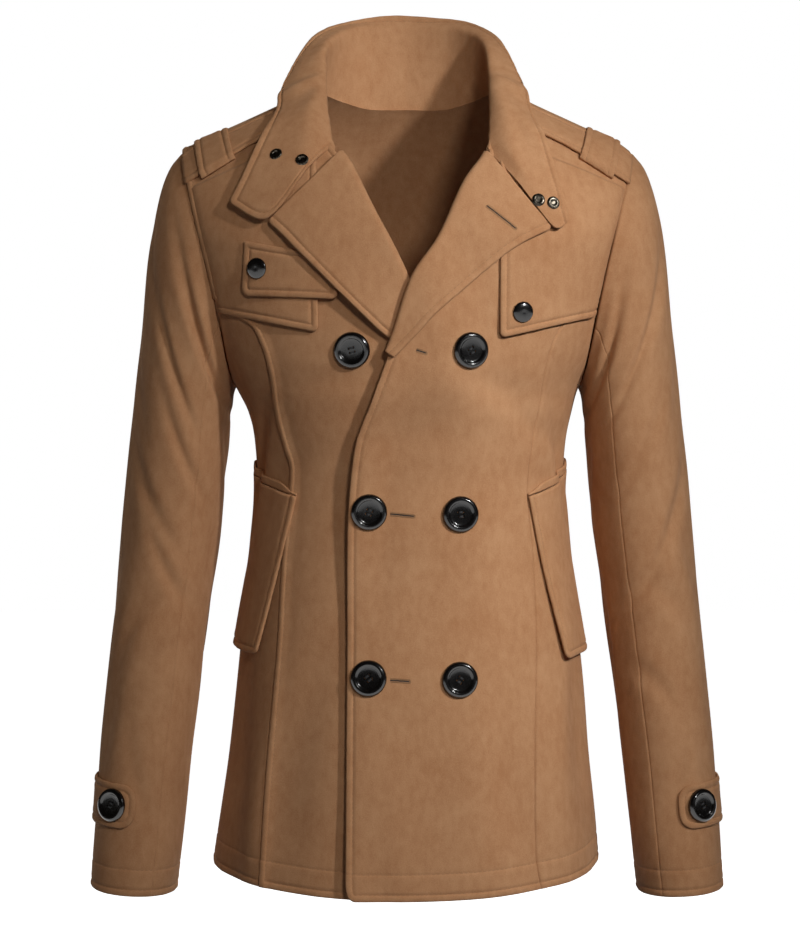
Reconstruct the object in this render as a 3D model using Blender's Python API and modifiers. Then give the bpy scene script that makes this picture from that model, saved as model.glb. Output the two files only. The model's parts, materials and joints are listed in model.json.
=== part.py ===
"""A short double-breasted wool coat with shoulder straps, storm flaps and a turned-out collar.

The coat hangs open and hollow, as on a wearer: every panel is a thin wall of cloth. Its frame has +X to the
wearer's left, +Y to the back and +Z up, with the origin between the shoulders, where the wearer carries it.
Tables and sizes below are in millimetres; meshes are made in metres.
"""

import math

import bmesh
import bpy
import numpy as np
from mathutils import Vector

MM = 0.001

# Driving sizes, in millimetres.
CLOTH = 2.2  # melton wall
GAP = 0.3  # between pieces at a seam
LIFT = 0.9  # a piece laid on a panel, clear of the panel's flat facets
HEM_LEVEL = -704
HEM_RISE = 12  # the hem is this much higher at the sides
SHOULDER_START = -130  # above this the body rounds over to the shoulder seam
SHOULDER_Y = 8  # the shoulder seam lies a little behind the middle
SHOULDER_ROUND = 1.7
BODY_ROUND = 2.3
SLEEVE_ROUND = 2.15
ARMHOLE_TOP = (205, -41)  # x, z on the shoulder seam
ARMHOLE_BOTTOM = (157.3, -255)
ARMHOLE_BOW = 3
ARMHOLE_STEPS = 12  # cloth facets down each side of the armhole
BODY_STEP = 28  # height of a facet below the armhole
LAP = 3.2  # how far the overlapping front lies outside the one beneath
LAP_AT_LAPEL = 8.9  # and where it passes over the other lapel
LAP_PAST = 8  # it settles back on the body from this far past the edge beneath
LAP_FADE = 62  # over this width
SEAT = 0.5  # a button or a snap, clear of the cloth beneath it
FACET_SAG = 0.25  # the facets of a sleeve tab lie this far inside its true curve
BIG_BUTTON = 32
FLAP_BUTTON = 18.5
CUFF_BUTTON = 30
SNAP = 11.5
STRAP = 2.0  # the straps' cloth is pressed thinner
FLAP_OUT = LIFT + CLOTH  # outer face of a flap on a panel
TAB_OUT = FLAP_OUT + LIFT + CLOTH  # and of a tab on a flap
STRAP_OUT = 3.6
STRAP_INNER = 104  # x of the shoulder strap's inner end
TAB_ROWS = (13.4, 14.22)  # the sleeve tab lies between these rows of the sleeve
CUFF_BUTTON_ANGLE = 50.0
COLLAR_END = -47  # height on the front's edge where the collar's seam begins
COLLAR_GAP = 0.6
LAPEL_END = -50.5
POCKET_BEHIND = 1.24  # the side flap ends this far round, behind the side seam
WELT_DEPTH = 7.5

BODY_COLUMNS = ("level", "half_width", "shift", "front", "back")
BODY = (
    (0, 235, 0, 118, 112),
    (-70, 228, 0, 122, 115),
    (-130, 211, 0, 125, 117),
    (-190, 189, 0, 127, 114),
    (-224, 174, 0, 126, 109),
    (-255, 157.3, 0, 124, 104),
    (-280, 148, 2.5, 121, 100),
    (-306, 142.5, 3, 118, 96),
    (-345, 139.5, 3, 115, 93),
    (-400, 143.5, 3, 117, 98),
    (-495, 156, 3, 126, 117),
    (-600, 165.5, 2, 135, 129),
    (-704, 178, -1, 144, 138),
)

SHOULDER_COLUMNS = ("x", "z")
SHOULDER = ((0, 36), (78, 20), (121, 0), (163, -19), (191, -31), (205, -41), (250, -86))

EDGE_COLUMNS = ("z", "x")
# Where each front is cut, from the neck down the lapel's fold and on down the front edge.
UNDER_EDGE = (
    (20, -78), (-35, -70), (-58, -54), (-99, -33), (-134, -14), (-160, -2), (-223, 15),
    (-270, 33), (-320, 46), (-380, 51), (-704, 53),
)
OVER_EDGE = (
    (20, 78), (-45, 73), (-77, 53), (-124, 31), (-160, 7), (-211, -10.5), (-227, -16.5),
    (-264, -29.5), (-306, -43.5), (-350, -48), (-384, -50), (-512, -51.5), (-690, -52), (-704, -49),
)
LEFT_PRINCESS = (
    (-176, 172), (-190, 152), (-203, 134.5), (-239, 122), (-265, 118.5), (-338, 104), (-407, 110),
    (-531, 117), (-617, 125), (-704, 131),
)
RIGHT_PRINCESS = (
    (-176, 172), (-190, 152), (-203, 134.5), (-239, 122), (-265, 118.5), (-345, 107), (-407, 112.5),
    (-493, 115), (-580, 113), (-667, 114.5), (-704, 120),
)

BACK_NECK_COLUMNS = ("x", "level")
BACK_NECK = ((0, -49), (30, -45), (55, -33), (70, -17), (78, -1))
BACK_COLUMNS = (0, 0.13, 0.26, 0.38, 0.5, 0.625, 0.75, 0.875, 1)

SLEEVE_COLUMNS = ("row", "outer_x", "outer_z", "inner_x", "inner_z", "half_depth", "middle_y")
SLEEVE = (
    (0, 205, -41, 157.3, -255, 70, 0),
    (1, 216, -54, 158.8, -257, 71, 0),
    (2, 224, -74, 159.8, -262, 72, 0),
    (3, 231, -103, 160.8, -269, 72, 1),
    (4, 236.5, -138, 162, -278, 71, 2),
    (5, 241, -175, 163.5, -292, 70, 3),
    (6, 245, -215, 165.5, -315, 68.5, 4),
    (7, 249, -258, 168, -345, 67, 4),
    (8, 254, -305, 171.5, -380, 65, 4),
    (9, 259, -355, 176, -418, 63, 3),
    (10, 264.5, -410, 181, -455, 61, 0),
    (11, 270, -468, 186.5, -498, 59, -6),
    (12, 275.5, -528, 192, -545, 57, -13),
    (13, 281, -588, 198, -595, 55, -21),
    (14, 284.5, -640, 203, -645, 53, -28),
    (15, 287, -680, 207, -684, 52, -33),
    (16, 289, -709, 210.5, -714, 51.5, -36),
)
SLEEVE_ROWS = 16
FRONT_SLEEVE_SEAM = 120  # degrees round the sleeve from its outer line, by the front
BACK_SLEEVE_SEAM = 255
MEETING = -176  # the princess seams run into the armholes here
SIDE_GAP = 0.0009  # half the side seam's gap, as a turn
TOP_LEVEL = -0.3  # the shoulder seam, less half its gap


# ---------------------------------------------------------------- curves through the tables


def column(table, names, name):
    return np.array([row[names.index(name)] for row in table], float)


def through(table, names, key, name, at):
    """One column of a table where its key column equals `at`, on a curve that never overshoots its rows."""
    keys, values = column(table, names, key), column(table, names, name)
    order = np.argsort(keys)
    keys, values = keys[order], values[order]
    at = np.clip(np.asarray(at, float), keys[0], keys[-1])
    step = np.diff(keys)
    slope = np.diff(values) / step
    before, after = slope[:-1], slope[1:]
    same_way = before * after > 0
    total = np.where(same_way, before + after, 1)
    middle = np.where(same_way, 2 * before * after / total, 0)
    tangent = np.concatenate([slope[:1], middle, slope[-1:]])
    i = np.clip(np.searchsorted(keys, at, side="right") - 1, 0, len(keys) - 2)
    u = (at - keys[i]) / step[i]
    rise = values[i] * (1 + 2 * u) * (1 - u) ** 2 + values[i + 1] * (3 - 2 * u) * u**2
    return rise + step[i] * (tangent[i] * u * (1 - u) ** 2 - tangent[i + 1] * (1 - u) * u**2)


def ease(value, start, end):
    """0 before start, 1 after end, and smooth between them. start may lie above end."""
    u = np.clip((np.asarray(value, float) - start) / (end - start), 0, 1)
    return u * u * (3 - 2 * u)


def unit(vector):
    return vector / np.maximum(np.linalg.norm(vector, axis=-1, keepdims=True), 1e-9)


# ---------------------------------------------------------------- the body's form


def shoulder_z(x):
    return through(SHOULDER, SHOULDER_COLUMNS, "x", "z", np.abs(x))


def body(turn, level):
    """A point of the body's outer face.

    turn goes round the body: 0 at the front centre, 1 at the wearer's left side, 2 at the back, -1 at the
    right side. level is the height, except that from SHOULDER_START to 0 it climbs to the shoulder seam.
    """
    turn, level = np.broadcast_arrays(np.asarray(turn, float), np.asarray(level, float))
    half = through(BODY, BODY_COLUMNS, "level", "half_width", level)
    shift = through(BODY, BODY_COLUMNS, "level", "shift", level)
    front = through(BODY, BODY_COLUMNS, "level", "front", level)
    back = through(BODY, BODY_COLUMNS, "level", "back", level)
    angle = turn * math.pi / 2
    sine, cosine = np.sin(angle), np.cos(angle)
    reach = (np.abs(sine) ** BODY_ROUND + np.abs(cosine) ** BODY_ROUND) ** (1 / BODY_ROUND)
    x = shift + half * sine / reach
    y = -np.where(cosine >= 0, front, back) * cosine / reach
    climb = np.clip(1 - level / SHOULDER_START, 0, 1) * math.pi / 2
    lean = np.cos(climb) ** (2 / SHOULDER_ROUND)
    lift = np.sin(climb) ** (2 / SHOULDER_ROUND)
    y = np.where(climb > 0, SHOULDER_Y + (y - SHOULDER_Y) * lean, y)
    low = level + HEM_RISE * sine**2 * ease(level, -500, HEM_LEVEL)
    z = np.where(climb > 0, SHOULDER_START + (shoulder_z(x) - SHOULDER_START) * lift, low)
    return np.stack([x, y, z], axis=-1)


def body_normal(turn, level):
    round_it = body(turn + 0.004, level) - body(turn - 0.004, level)
    level = np.minimum(level, -0.6)
    up = body(turn, level + 0.5) - body(turn, level - 0.5)
    return unit(np.cross(round_it, up))


def level_at(x, z):
    """The level of the point that lies at x and z in the front view."""
    share = np.clip((z - SHOULDER_START) / (shoulder_z(x) - SHOULDER_START), 0, 1)
    climb = np.arcsin(share ** (SHOULDER_ROUND / 2))
    return np.where(z > SHOULDER_START, SHOULDER_START * (1 - climb / (math.pi / 2)), z)


def turn_at(x, level):
    """The turn on the front of the body where a level reaches x."""
    half = through(BODY, BODY_COLUMNS, "level", "half_width", level)
    shift = through(BODY, BODY_COLUMNS, "level", "shift", level)
    share = np.clip((x - shift) / half, -1, 1)
    other = (1 - np.abs(share) ** BODY_ROUND) ** (1 / BODY_ROUND)
    return np.arctan2(share, other) * 2 / math.pi


def facing(x, z):
    """turn and level of the front's point that the front view shows at x and z."""
    x, z = np.broadcast_arrays(np.asarray(x, float), np.asarray(z, float))
    level = level_at(x, z)
    return turn_at(x, level), level


def edge_turn(x_of_z, level):
    """The turn where a level meets a line given as x by z."""
    level = np.asarray(level, float)
    x = x_of_z(level)
    for _ in range(12):
        turn = turn_at(x, level)
        x = x_of_z(body(turn, level)[..., 2])
    return turn_at(x, level)


def armhole_x(z):
    top, bottom = ARMHOLE_TOP, ARMHOLE_BOTTOM
    share = np.clip((top[1] - np.asarray(z, float)) / (top[1] - bottom[1]), 0, 1)
    return top[0] + (bottom[0] - top[0]) * share - ARMHOLE_BOW * np.sin(math.pi * share) ** 2


def edge_of(table):
    return lambda z: through(table, EDGE_COLUMNS, "z", "x", z)


def armhole_of(side):
    return lambda z: side * armhole_x(z)


def princess_of(table, side):
    return lambda z: side * np.minimum(through(table, EDGE_COLUMNS, "z", "x", z), armhole_x(z) - 1.2)


def lap_out(x, z):
    """How far the overlapping front lies outside the body's form."""
    beneath = edge_of(UNDER_EDGE)(z) + LAP_PAST
    across = 1 - ease(x, beneath, beneath + LAP_FADE)
    return across * (LAP + (LAP_AT_LAPEL - LAP) * ease(z, -305, -235))


def lapped(points):
    return lap_out(points[..., 0], points[..., 2])


# ---------------------------------------------------------------- meshes and materials


def material(name, colour, roughness, metallic=0.0):
    made = bpy.data.materials.new(name)
    made.use_nodes = True
    made.diffuse_color = (*colour, 1)
    shader = made.node_tree.nodes["Principled BSDF"]
    shader.inputs["Base Color"].default_value = (*colour, 1)
    shader.inputs["Roughness"].default_value = roughness
    shader.inputs["Metallic"].default_value = metallic
    return made


def keep(obj, finish):
    """Puts a finished object in the coat's collection with its material."""
    for old in list(obj.users_collection):
        old.objects.unlink(obj)
    COAT.objects.link(obj)
    obj.data.materials.clear()
    obj.data.materials.append(finish)
    return obj


def wall(name, outer, inner, finish):
    """A closed sheet of cloth between two grids of points, lofted because no two of its sections are alike."""
    rows, columns = outer.shape[:2]
    made = bmesh.new()
    faces = []
    grids = [
        [[made.verts.new(point * MM) for point in line] for line in side] for side in (outer, inner)
    ]
    for side in grids:
        for i in range(rows - 1):
            for j in range(columns - 1):
                faces.append((side[i][j], side[i][j + 1], side[i + 1][j + 1], side[i + 1][j]))
    border = [(0, j) for j in range(columns - 1)] + [(i, columns - 1) for i in range(rows - 1)]
    border += [(rows - 1, j) for j in range(columns - 1, 0, -1)] + [(i, 0) for i in range(rows - 1, 0, -1)]
    for (i, j), (k, m) in zip(border, border[1:] + border[:1]):
        faces.append((grids[0][i][j], grids[0][k][m], grids[1][k][m], grids[1][i][j]))
    for face in faces:
        made.faces.new(face)
    bmesh.ops.recalc_face_normals(made, faces=made.faces[:])
    mesh = bpy.data.meshes.new(name)
    made.to_mesh(mesh)
    made.free()
    mesh.shade_smooth()
    mesh.set_sharp_from_angle(angle=math.radians(50))
    return keep(bpy.data.objects.new(name, mesh), finish)


def body_cloth(name, turn, level, out, thick, finish):
    """A piece of cloth that follows the body's form, its outer face `out` outside it."""
    points, normal = body(turn, level), body_normal(turn, level)
    out = np.broadcast_to(out, turn.shape)[..., None]
    return wall(name, points + normal * out, points + normal * (out - thick), finish)


# ---------------------------------------------------------------- body panels


def levels():
    """The heights of the body's rows of facets, which all its panels share, from the hem up."""
    below = round((ARMHOLE_BOTTOM[1] - HEM_LEVEL) / BODY_STEP)
    low = np.linspace(HEM_LEVEL, ARMHOLE_BOTTOM[1], below + 1)
    angle = np.radians(np.linspace(180, 0, ARMHOLE_STEPS + 1)[1:])
    z = armhole_z(angle)
    high = level_at(armhole_x(z), z)
    high[-1] = TOP_LEVEL
    return np.concatenate([low, high])


def spaced(start, end, count):
    """Grid columns evenly between two edges, a value of each for every row."""
    return start[:, None] + (end - start)[:, None] * np.linspace(0, 1, count)


def aside(turn, level, distance):
    """A turn moved along its level by a distance, for the gap at a seam."""
    speed = np.linalg.norm(body(turn + 0.002, level) - body(turn - 0.002, level), axis=-1) / 0.004
    return turn + distance / speed


def front_centre(name, side, edge, princess, columns, finish):
    """From the front edge to the princess seam, and above that to the armhole."""
    level = levels()
    front = edge_turn(edge_of(edge), level)
    seam = aside(edge_turn(princess_of(princess, side), level), level, -side * GAP / 2)
    seam = np.where(level > MEETING + 1, edge_turn(armhole_of(side), level), seam)
    turn = spaced(front, seam, columns)
    level = np.broadcast_to(level[:, None], turn.shape)
    out = lapped(body(turn, level)) if edge is OVER_EDGE else 0
    return body_cloth(name, turn, level, out, CLOTH, finish)


def front_side(name, side, princess, columns, finish):
    """From the princess seam to the side seam or the armhole."""
    level = levels()
    level = level[level <= MEETING + 1]
    seam = aside(edge_turn(princess_of(princess, side), level), level, side * GAP / 2)
    under_arm = np.full_like(level, side * (1 - SIDE_GAP))
    end = np.where(level > ARMHOLE_BOTTOM[1] + 1, edge_turn(armhole_of(side), level), under_arm)
    turn = spaced(seam, end, columns)
    return body_cloth(name, turn, np.broadcast_to(level[:, None], turn.shape), 0, CLOTH, finish)


def back_grid(level):
    """turn and level of the back: one grid, drawn down between the shoulders to the back neck."""
    half = np.array(BACK_COLUMNS)
    share = np.concatenate([-half[:0:-1], half])
    side = np.where(level > ARMHOLE_BOTTOM[1] + 1, edge_turn(armhole_x, level), 1 - SIDE_GAP)
    turn = 2 - side[:, None] * share
    x = np.abs(share) * ARMHOLE_TOP[0]
    top = np.where(x < 77, through(BACK_NECK, BACK_NECK_COLUMNS, "x", "level", x), TOP_LEVEL)
    squeeze = (top - SHOULDER_START) / (TOP_LEVEL - SHOULDER_START)
    level = np.broadcast_to(level[:, None], turn.shape)
    drawn = SHOULDER_START + (level - SHOULDER_START) * squeeze
    return turn, np.where(level > SHOULDER_START, drawn, level)


def back(name, finish):
    turn, level = back_grid(levels())
    return body_cloth(name, turn, level, 0, CLOTH, finish)


# ---------------------------------------------------------------- sleeves


def armhole_z(angle):
    """Height of the armhole's edge, by its angle in radians from the shoulder."""
    top, bottom = ARMHOLE_TOP[1], ARMHOLE_BOTTOM[1]
    return (top + bottom) / 2 + (top - bottom) / 2 * np.cos(angle)


def armhole(angle):
    """A point of the left armhole: 0 degrees on the shoulder, 90 at the front, 180 under the arm."""
    radians = np.radians(angle)
    z = armhole_z(radians)
    x = armhole_x(z)
    level = level_at(x, z)
    turn = turn_at(x, level)
    return body(np.where(np.sin(radians) >= 0, turn, 2 - turn), level)


def sleeve_tube(angle, row):
    def of(name):
        return through(SLEEVE, SLEEVE_COLUMNS, "row", name, row)

    cosine, sine = np.cos(np.radians(angle)), np.sin(np.radians(angle))
    reach = (np.abs(sine) ** SLEEVE_ROUND + np.abs(cosine) ** SLEEVE_ROUND) ** (1 / SLEEVE_ROUND)
    across, ahead = cosine / reach, sine / reach
    x = (of("outer_x") + of("inner_x")) / 2 + (of("outer_x") - of("inner_x")) / 2 * across
    z = (of("outer_z") + of("inner_z")) / 2 + (of("outer_z") - of("inner_z")) / 2 * across
    return np.stack([x, of("middle_y") - of("half_depth") * ahead, z], axis=-1)


def sleeve(angle, row):
    """A point of the left sleeve's outer face; it starts as the armhole and becomes a plain tube."""
    angle, row = np.broadcast_arrays(np.asarray(angle, float), np.asarray(row, float))
    start = armhole(angle) - sleeve_tube(angle, np.zeros_like(row))
    return sleeve_tube(angle, row) + start * (1 - ease(row, 0, 3))[..., None]


def sleeve_normal(angle, row):
    angle, row = np.broadcast_arrays(np.asarray(angle, float), np.asarray(row, float))
    round_it = sleeve(angle + 1, row) - sleeve(angle - 1, row)
    down = sleeve(angle, np.minimum(row + 0.05, SLEEVE_ROWS)) - sleeve(angle, np.maximum(row - 0.05, 0))
    return unit(np.cross(round_it, down))


def mirrored(points, side):
    return points * np.array([side, 1, 1])


def sleeve_cloth(name, side, first, last, count, finish):
    """One sleeve panel between two seams, given in degrees round the arm."""
    row = np.arange(SLEEVE_ROWS + 1, dtype=float)
    angle = np.linspace(first, last, count)
    angle, row = np.meshgrid(angle, row)
    speed = np.linalg.norm(sleeve(angle + 1, row) - sleeve(angle - 1, row), axis=-1) / 2
    angle[:, 0] += GAP / 2 / speed[:, 0]
    angle[:, -1] -= GAP / 2 / speed[:, -1]
    outer = sleeve(angle, row)
    away = unit(sleeve(angle[0], 0.3) - outer[0])
    outer[0] += away * GAP * 1.6
    centre = (armhole(0.0) + armhole(180.0)) / 2
    inward = -sleeve_normal(angle, row)
    inward[0] = unit(centre - outer[0])
    return wall(name, mirrored(outer, side), mirrored(outer + inward * CLOTH, side), finish)


# ---------------------------------------------------------------- the collar


COLLAR_COLUMNS = (
    "station", "roll_x", "roll_y", "roll_z", "belly_x", "belly_y", "belly_z", "edge_x", "edge_y", "edge_z",
)
# Stations run from the lapel's end of the collar (0) past the shoulder seam (4) to the back centre (7).
RIGHT_COLLAR = (
    (0, -65.5, -84, -43, -119, -107, -109, -157, -101, -93),
    (1, -66, -77, -33, -117, -102, -82, -147, -96, -72),
    (2, -71, -48, -2, -106, -76, -26, -129, -74, -28),
    (3, -72.5, -22, 20, -98, -38, 8, -118, -44, -7),
    (4, -74, 8, 46, -95, -1, 39, -112, -10, 21),
    (5, -63, 38, 65, -76, 42, 71, -86, 43, 71),
    (6, -34, 66, 76, -44, 68, 83, -52, 69, 86),
    (7, 0, 73, 75, 0, 77, 84, 0, 80, 92),
)
LEFT_COLLAR = (
    (0, 71.5, -85, -43, 127, -107, -113, 142, -104, -108),
    (1, 72, -77, -33, 116, -103, -78, 136, -100, -85),
    (2, 73.5, -48, -2, 104, -77, -24, 123, -79, -33),
    (3, 73.5, -22, 20, 95, -40, 7, 113, -48, -10),
    (4, 72, 8, 46, 92, 0, 39, 103.5, -10, 25),
    (5, 65, 38, 65, 74, 41, 70, 82, 43, 70),
    (6, 36, 66, 76, 45, 68, 83, 54, 69, 86),
    (7, 0, 73, 75, 0, 77, 84, 0, 80, 92),
)
COLLAR_KNOTS = (0, 0.24, 0.68, 1)  # seam, roll, belly, edge: shares of the way up the collar
CLEAR_COLUMNS = ("station", "out")
COLLAR_CLEAR = ((0, 12.6), (2, 12), (3, 8.5), (7, 7))  # the showing face lies this far outside the body


def neck_points(side, edge):
    """Points and normals round half of the neck's edge, one for each whole station of the collar."""
    level = levels()
    front = edge_turn(edge_of(edge), level)
    edge_points, normals = body(front, level), body_normal(front, level)
    last = len(level) - 1
    below, above = last - 4, last - 3
    share = (COLLAR_END - edge_points[below, 2]) / (edge_points[above, 2] - edge_points[below, 2])
    start = edge_points[below] + (edge_points[above] - edge_points[below]) * share
    turn, back_levels = back_grid(level)
    middle = len(BACK_COLUMNS) - 1
    columns = [middle + side * step for step in (2, 1, 0)]
    behind = body(turn[-1, columns], back_levels[-1, columns])
    behind_normals = body_normal(turn[-1, columns], back_levels[-1, columns])
    points = np.concatenate([[start], edge_points[above:], behind])
    return points, np.concatenate([[normals[above]], normals[above:], behind_normals])


def between(values, station):
    """Values given at whole stations, joined by straight lines."""
    i = np.clip(np.floor(station).astype(int), 0, len(values) - 2)
    share = (station - i)[:, None]
    return values[i] * (1 - share) + values[i + 1] * share


def knotted(knots, points, at):
    """A smooth curve through points at the given knots. points is a list of arrays, one for each knot."""
    knots = np.array(knots, float)
    step = np.diff(knots)
    slopes = [(points[i + 1] - points[i]) / step[i] for i in range(len(step))]
    tangents = [slopes[0]]
    for i in range(1, len(step)):
        tangents.append((slopes[i - 1] * step[i] + slopes[i] * step[i - 1]) / (step[i - 1] + step[i]))
    tangents.append(slopes[-1])
    found = []
    for value in at:
        i = int(np.clip(np.searchsorted(knots, value, side="right") - 1, 0, len(step) - 1))
        u = (value - knots[i]) / step[i]
        here = points[i] * (1 + 2 * u) * (1 - u) ** 2 + points[i + 1] * (3 - 2 * u) * u**2
        here = here + step[i] * (tangents[i] * u * (1 - u) ** 2 - tangents[i + 1] * (1 - u) * u**2)
        found.append(here)
    return found


def held_off(points, clear):
    """Points moved outwards where they come nearer than `clear` to the front of the body."""
    turn, level = facing(points[..., 0], points[..., 2])
    normal = body_normal(turn, level)
    off = np.sum((points - body(turn, level)) * normal, axis=-1)
    short = np.where(clear > 0, np.maximum(clear - off, 0), 0)
    return points + normal * short[..., None]


def collar_half(side, edge, table, station, at):
    """Grid of the collar's inner, showing face: one line for each station, from the neck seam to the edge."""

    def of(part):
        names = [f"{part}_{axis}" for axis in "xyz"]
        return np.stack([through(table, COLLAR_COLUMNS, "station", name, station) for name in names], -1)

    seams, normals = neck_points(side, edge)
    seam, normal = between(seams, station), unit(between(normals, station))
    along = unit(between(np.gradient(seams, axis=0), station))
    into = unit(np.cross(normal, along)) * side
    seam = seam + into * COLLAR_GAP
    lines = knotted(COLLAR_KNOTS, [seam - normal * CLOTH, of("roll"), of("belly"), of("edge")], at)
    clear = through(COLLAR_CLEAR, CLEAR_COLUMNS, "station", "out", station)
    return held_off(np.stack(lines, axis=1), clear[:, None] * ease(at, 0.14, 0.4)), normal


def collar_grids(stations, at):
    """The collar's showing face and its hidden face, from the right front end round to the left one."""
    right, right_normal = collar_half(-1, UNDER_EDGE, RIGHT_COLLAR, stations, at)
    left, left_normal = collar_half(1, OVER_EDGE, LEFT_COLLAR, stations, at)
    shown = np.concatenate([right, left[-2::-1]])
    seam_normal = np.concatenate([right_normal, left_normal[-2::-1]])
    round_it = np.gradient(shown, axis=0)
    up = np.gradient(shown, axis=1)
    outward = unit(np.cross(up, round_it))
    weight = ease(np.array(at), 0, 0.16)[None, :, None]
    outward = unit(outward * weight + seam_normal[:, None] * (1 - weight))
    return shown, shown + outward * CLOTH


COLLAR_STATIONS = np.array([0, 1, 1.5, 2, 2.5, 3, 3.5, 4, 4.5, 5, 5.5, 6, 7])
COLLAR_AT = np.array([0, 0.12, 0.2, 0.28, 0.4, 0.52, 0.62, 0.7, 0.78, 0.89, 1])


def collar(name, finish):
    shown, hidden = collar_grids(COLLAR_STATIONS, COLLAR_AT)
    return wall(name, shown, hidden, finish)


# ---------------------------------------------------------------- the lapels


LAPEL_COLUMNS = ("row", "edge_x", "edge_z", "roll_out", "edge_out")
# One row for each facet of the front's edge, from the break of the lapel (0) up to the collar (6).
RIGHT_LAPEL = (
    (0, 12, -226, 5.2, 5.2),
    (1, -17, -209.5, 5.2, 5.4),
    (2, -42, -186, 5.4, 8.8),
    (3, -64, -164, 5.8, 9.2),
    (4, -85, -142.5, 6.4, 9.4),
    (5, -106, -122, 7, 9.6),
    (6, -119.5, -110.5, 7.2, 9.8),
)
LEFT_LAPEL = (
    (0, -11, -227, 5.2, 5.4),
    (1, 3, -213, 5.2, 5.6),
    (2, 24, -190, 5.4, 6),
    (3, 47, -170, 5.8, 6.6),
    (4, 70, -150, 6.4, 7),
    (5, 96, -130, 7, 7.4),
    (6, 125, -116, 7.2, 8.4),
)


def lapel_edge(side, edge, out):
    """Points, normals and outward directions up the front's edge beside the lapel, one for each row."""
    level = levels()
    turn = edge_turn(edge_of(edge), level)
    points = body(turn, level)
    normals = body_normal(turn, level)
    if out:
        points = points + normals * lapped(points)[:, None]
    along = unit(np.gradient(points, axis=0))
    into = unit(np.cross(normals, along)) * side
    last = len(level) - 1
    first, below, above = last - 9, last - 4, last - 3
    share = (LAPEL_END - points[below, 2]) / (points[above, 2] - points[below, 2])

    def chosen(values):
        top = values[below] + (values[above] - values[below]) * share
        return np.concatenate([values[first : below + 1], [top]])

    return chosen(points), unit(chosen(normals)), unit(chosen(into))


def lapel(name, side, edge, table, finish):
    """The turned-back facing: a soft fold at the front's edge, then a leaf lying over the front."""
    over = edge is OVER_EDGE
    point, normal, into = lapel_edge(side, edge, over)
    row = np.arange(len(point), dtype=float)

    def of(name_of_column):
        return through(table, LAPEL_COLUMNS, "row", name_of_column, row)

    shown, hidden = [], []
    middle, radius = (of("roll_out") - CLOTH) / 2, (of("roll_out") + CLOTH) / 2
    start = point + into * GAP * 1.5
    for angle in np.radians((0, 40, 80, 120, 155)):
        for grid, size in ((shown, radius), (hidden, radius - CLOTH)):
            rise = (middle - size * math.cos(angle))[:, None]
            grid.append(start + into * (size * math.sin(angle))[:, None] + normal * rise)
    for share in (0.04, 0.2, 0.4, 0.6, 0.8, 1):
        x = start[:, 0] * (1 - share) + of("edge_x") * share
        z = start[:, 2] * (1 - share) + of("edge_z") * share
        turn, level = facing(x, z)
        base, up = body(turn, level), body_normal(turn, level)
        out = of("roll_out") + (of("edge_out") - of("roll_out")) * share**1.6
        if over:
            out = out + lap_out(x, z)
        shown.append(base + up * out[:, None])
        hidden.append(base + up * (out - CLOTH)[:, None])
    return wall(name, np.stack(shown, axis=1), np.stack(hidden, axis=1), finish)


# ---------------------------------------------------------------- pieces laid on the fronts


def quad_patch(corners, rows, columns):
    """Grid of x and z over a four-sided piece. corners go top start, top end, bottom end, bottom start."""
    top_start, top_end, low_end, low_start = (np.array(corner, float) for corner in corners)
    down = np.linspace(0, 1, rows)[:, None, None]
    across = np.linspace(0, 1, columns)[None, :, None]
    top = top_start * (1 - across) + top_end * across
    low = low_start * (1 - across) + low_end * across
    both = top * (1 - down) + low * down
    return both[..., 0], both[..., 1]


def front_piece(name, x, z, out, thick, finish):
    """Cloth laid on the front at a grid of x and z."""
    turn, level = facing(x, z)
    return body_cloth(name, turn, level, out, thick, finish)


# Corners as x and z: top at the front, top at the armhole, low at the armhole, low at the front.
RIGHT_STORM_FLAP = ((80, -33), (196, -79), (169, -188), (77, -206))
LEFT_STORM_FLAP = ((82, -36), (196, -79), (163, -191), (80.5, -211))
CHEST_TAB = ((144.5, -126), (74, -138), (60, -177), (146, -171.5))


def storm_flap(name, side, corners, finish):
    """Sewn in at the armhole, free along its lower and inner edges."""
    x, z = quad_patch(corners, 10, 7)
    x = np.minimum(x, armhole_x(z) - 0.6)
    out = FLAP_OUT + 1.2 * ease(z, -165, -205)
    return front_piece(name, side * x, z, out, CLOTH, finish)


def chest_tab(name, corners, finish):
    x, z = quad_patch(corners, 4, 6)
    return front_piece(name, -x, z, TAB_OUT, CLOTH, finish)


def strap_line(x, behind):
    """Height of the shoulder strap's front or rear edge."""
    if behind:
        return shoulder_z(x) - 8
    return np.interp(x, (100, 140, 198), (-20, -40, -74))


def epaulette(name, side, finish):
    x = np.linspace(STRAP_INNER, 203.5, 7)
    across = np.linspace(0, 1, 5)[:, None]
    x = np.broadcast_to(x, (5, 7))
    x = x - across * (x - STRAP_INNER) / (203.5 - STRAP_INNER) * 5.5
    z = strap_line(x, True) * (1 - across) + strap_line(x, False) * across
    return front_piece(name, side * x, z, STRAP_OUT, STRAP, finish)


def epaulette_loop(name, side, finish):
    """A band over the strap, its two ends down on the shoulder."""
    reach = np.array((-0.16, -0.1, -0.04, 0.25, 0.5, 0.75, 1.04, 1.1, 1.16))
    height = np.array((0, 0.1, 1, 1, 1, 1, 1, 0.1, 0))
    low, high = LIFT + STRAP, STRAP_OUT + LIFT + STRAP
    start = np.array((191.0, 161.0))
    end = np.array((184.0, 154.0))
    x = start * (1 - reach[:, None]) + end * reach[:, None]
    z = strap_line(x, True) * (1 - reach[:, None]) + strap_line(x, False) * reach[:, None]
    x = np.stack([x[:, 0], x.mean(axis=1), x[:, 1]], axis=1)
    z = np.stack([z[:, 0], z.mean(axis=1), z[:, 1]], axis=1)
    out = np.broadcast_to((low + (high - low) * height)[:, None], x.shape)
    return front_piece(name, side * x, z, out, STRAP, finish)


# ---------------------------------------------------------------- pockets


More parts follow.
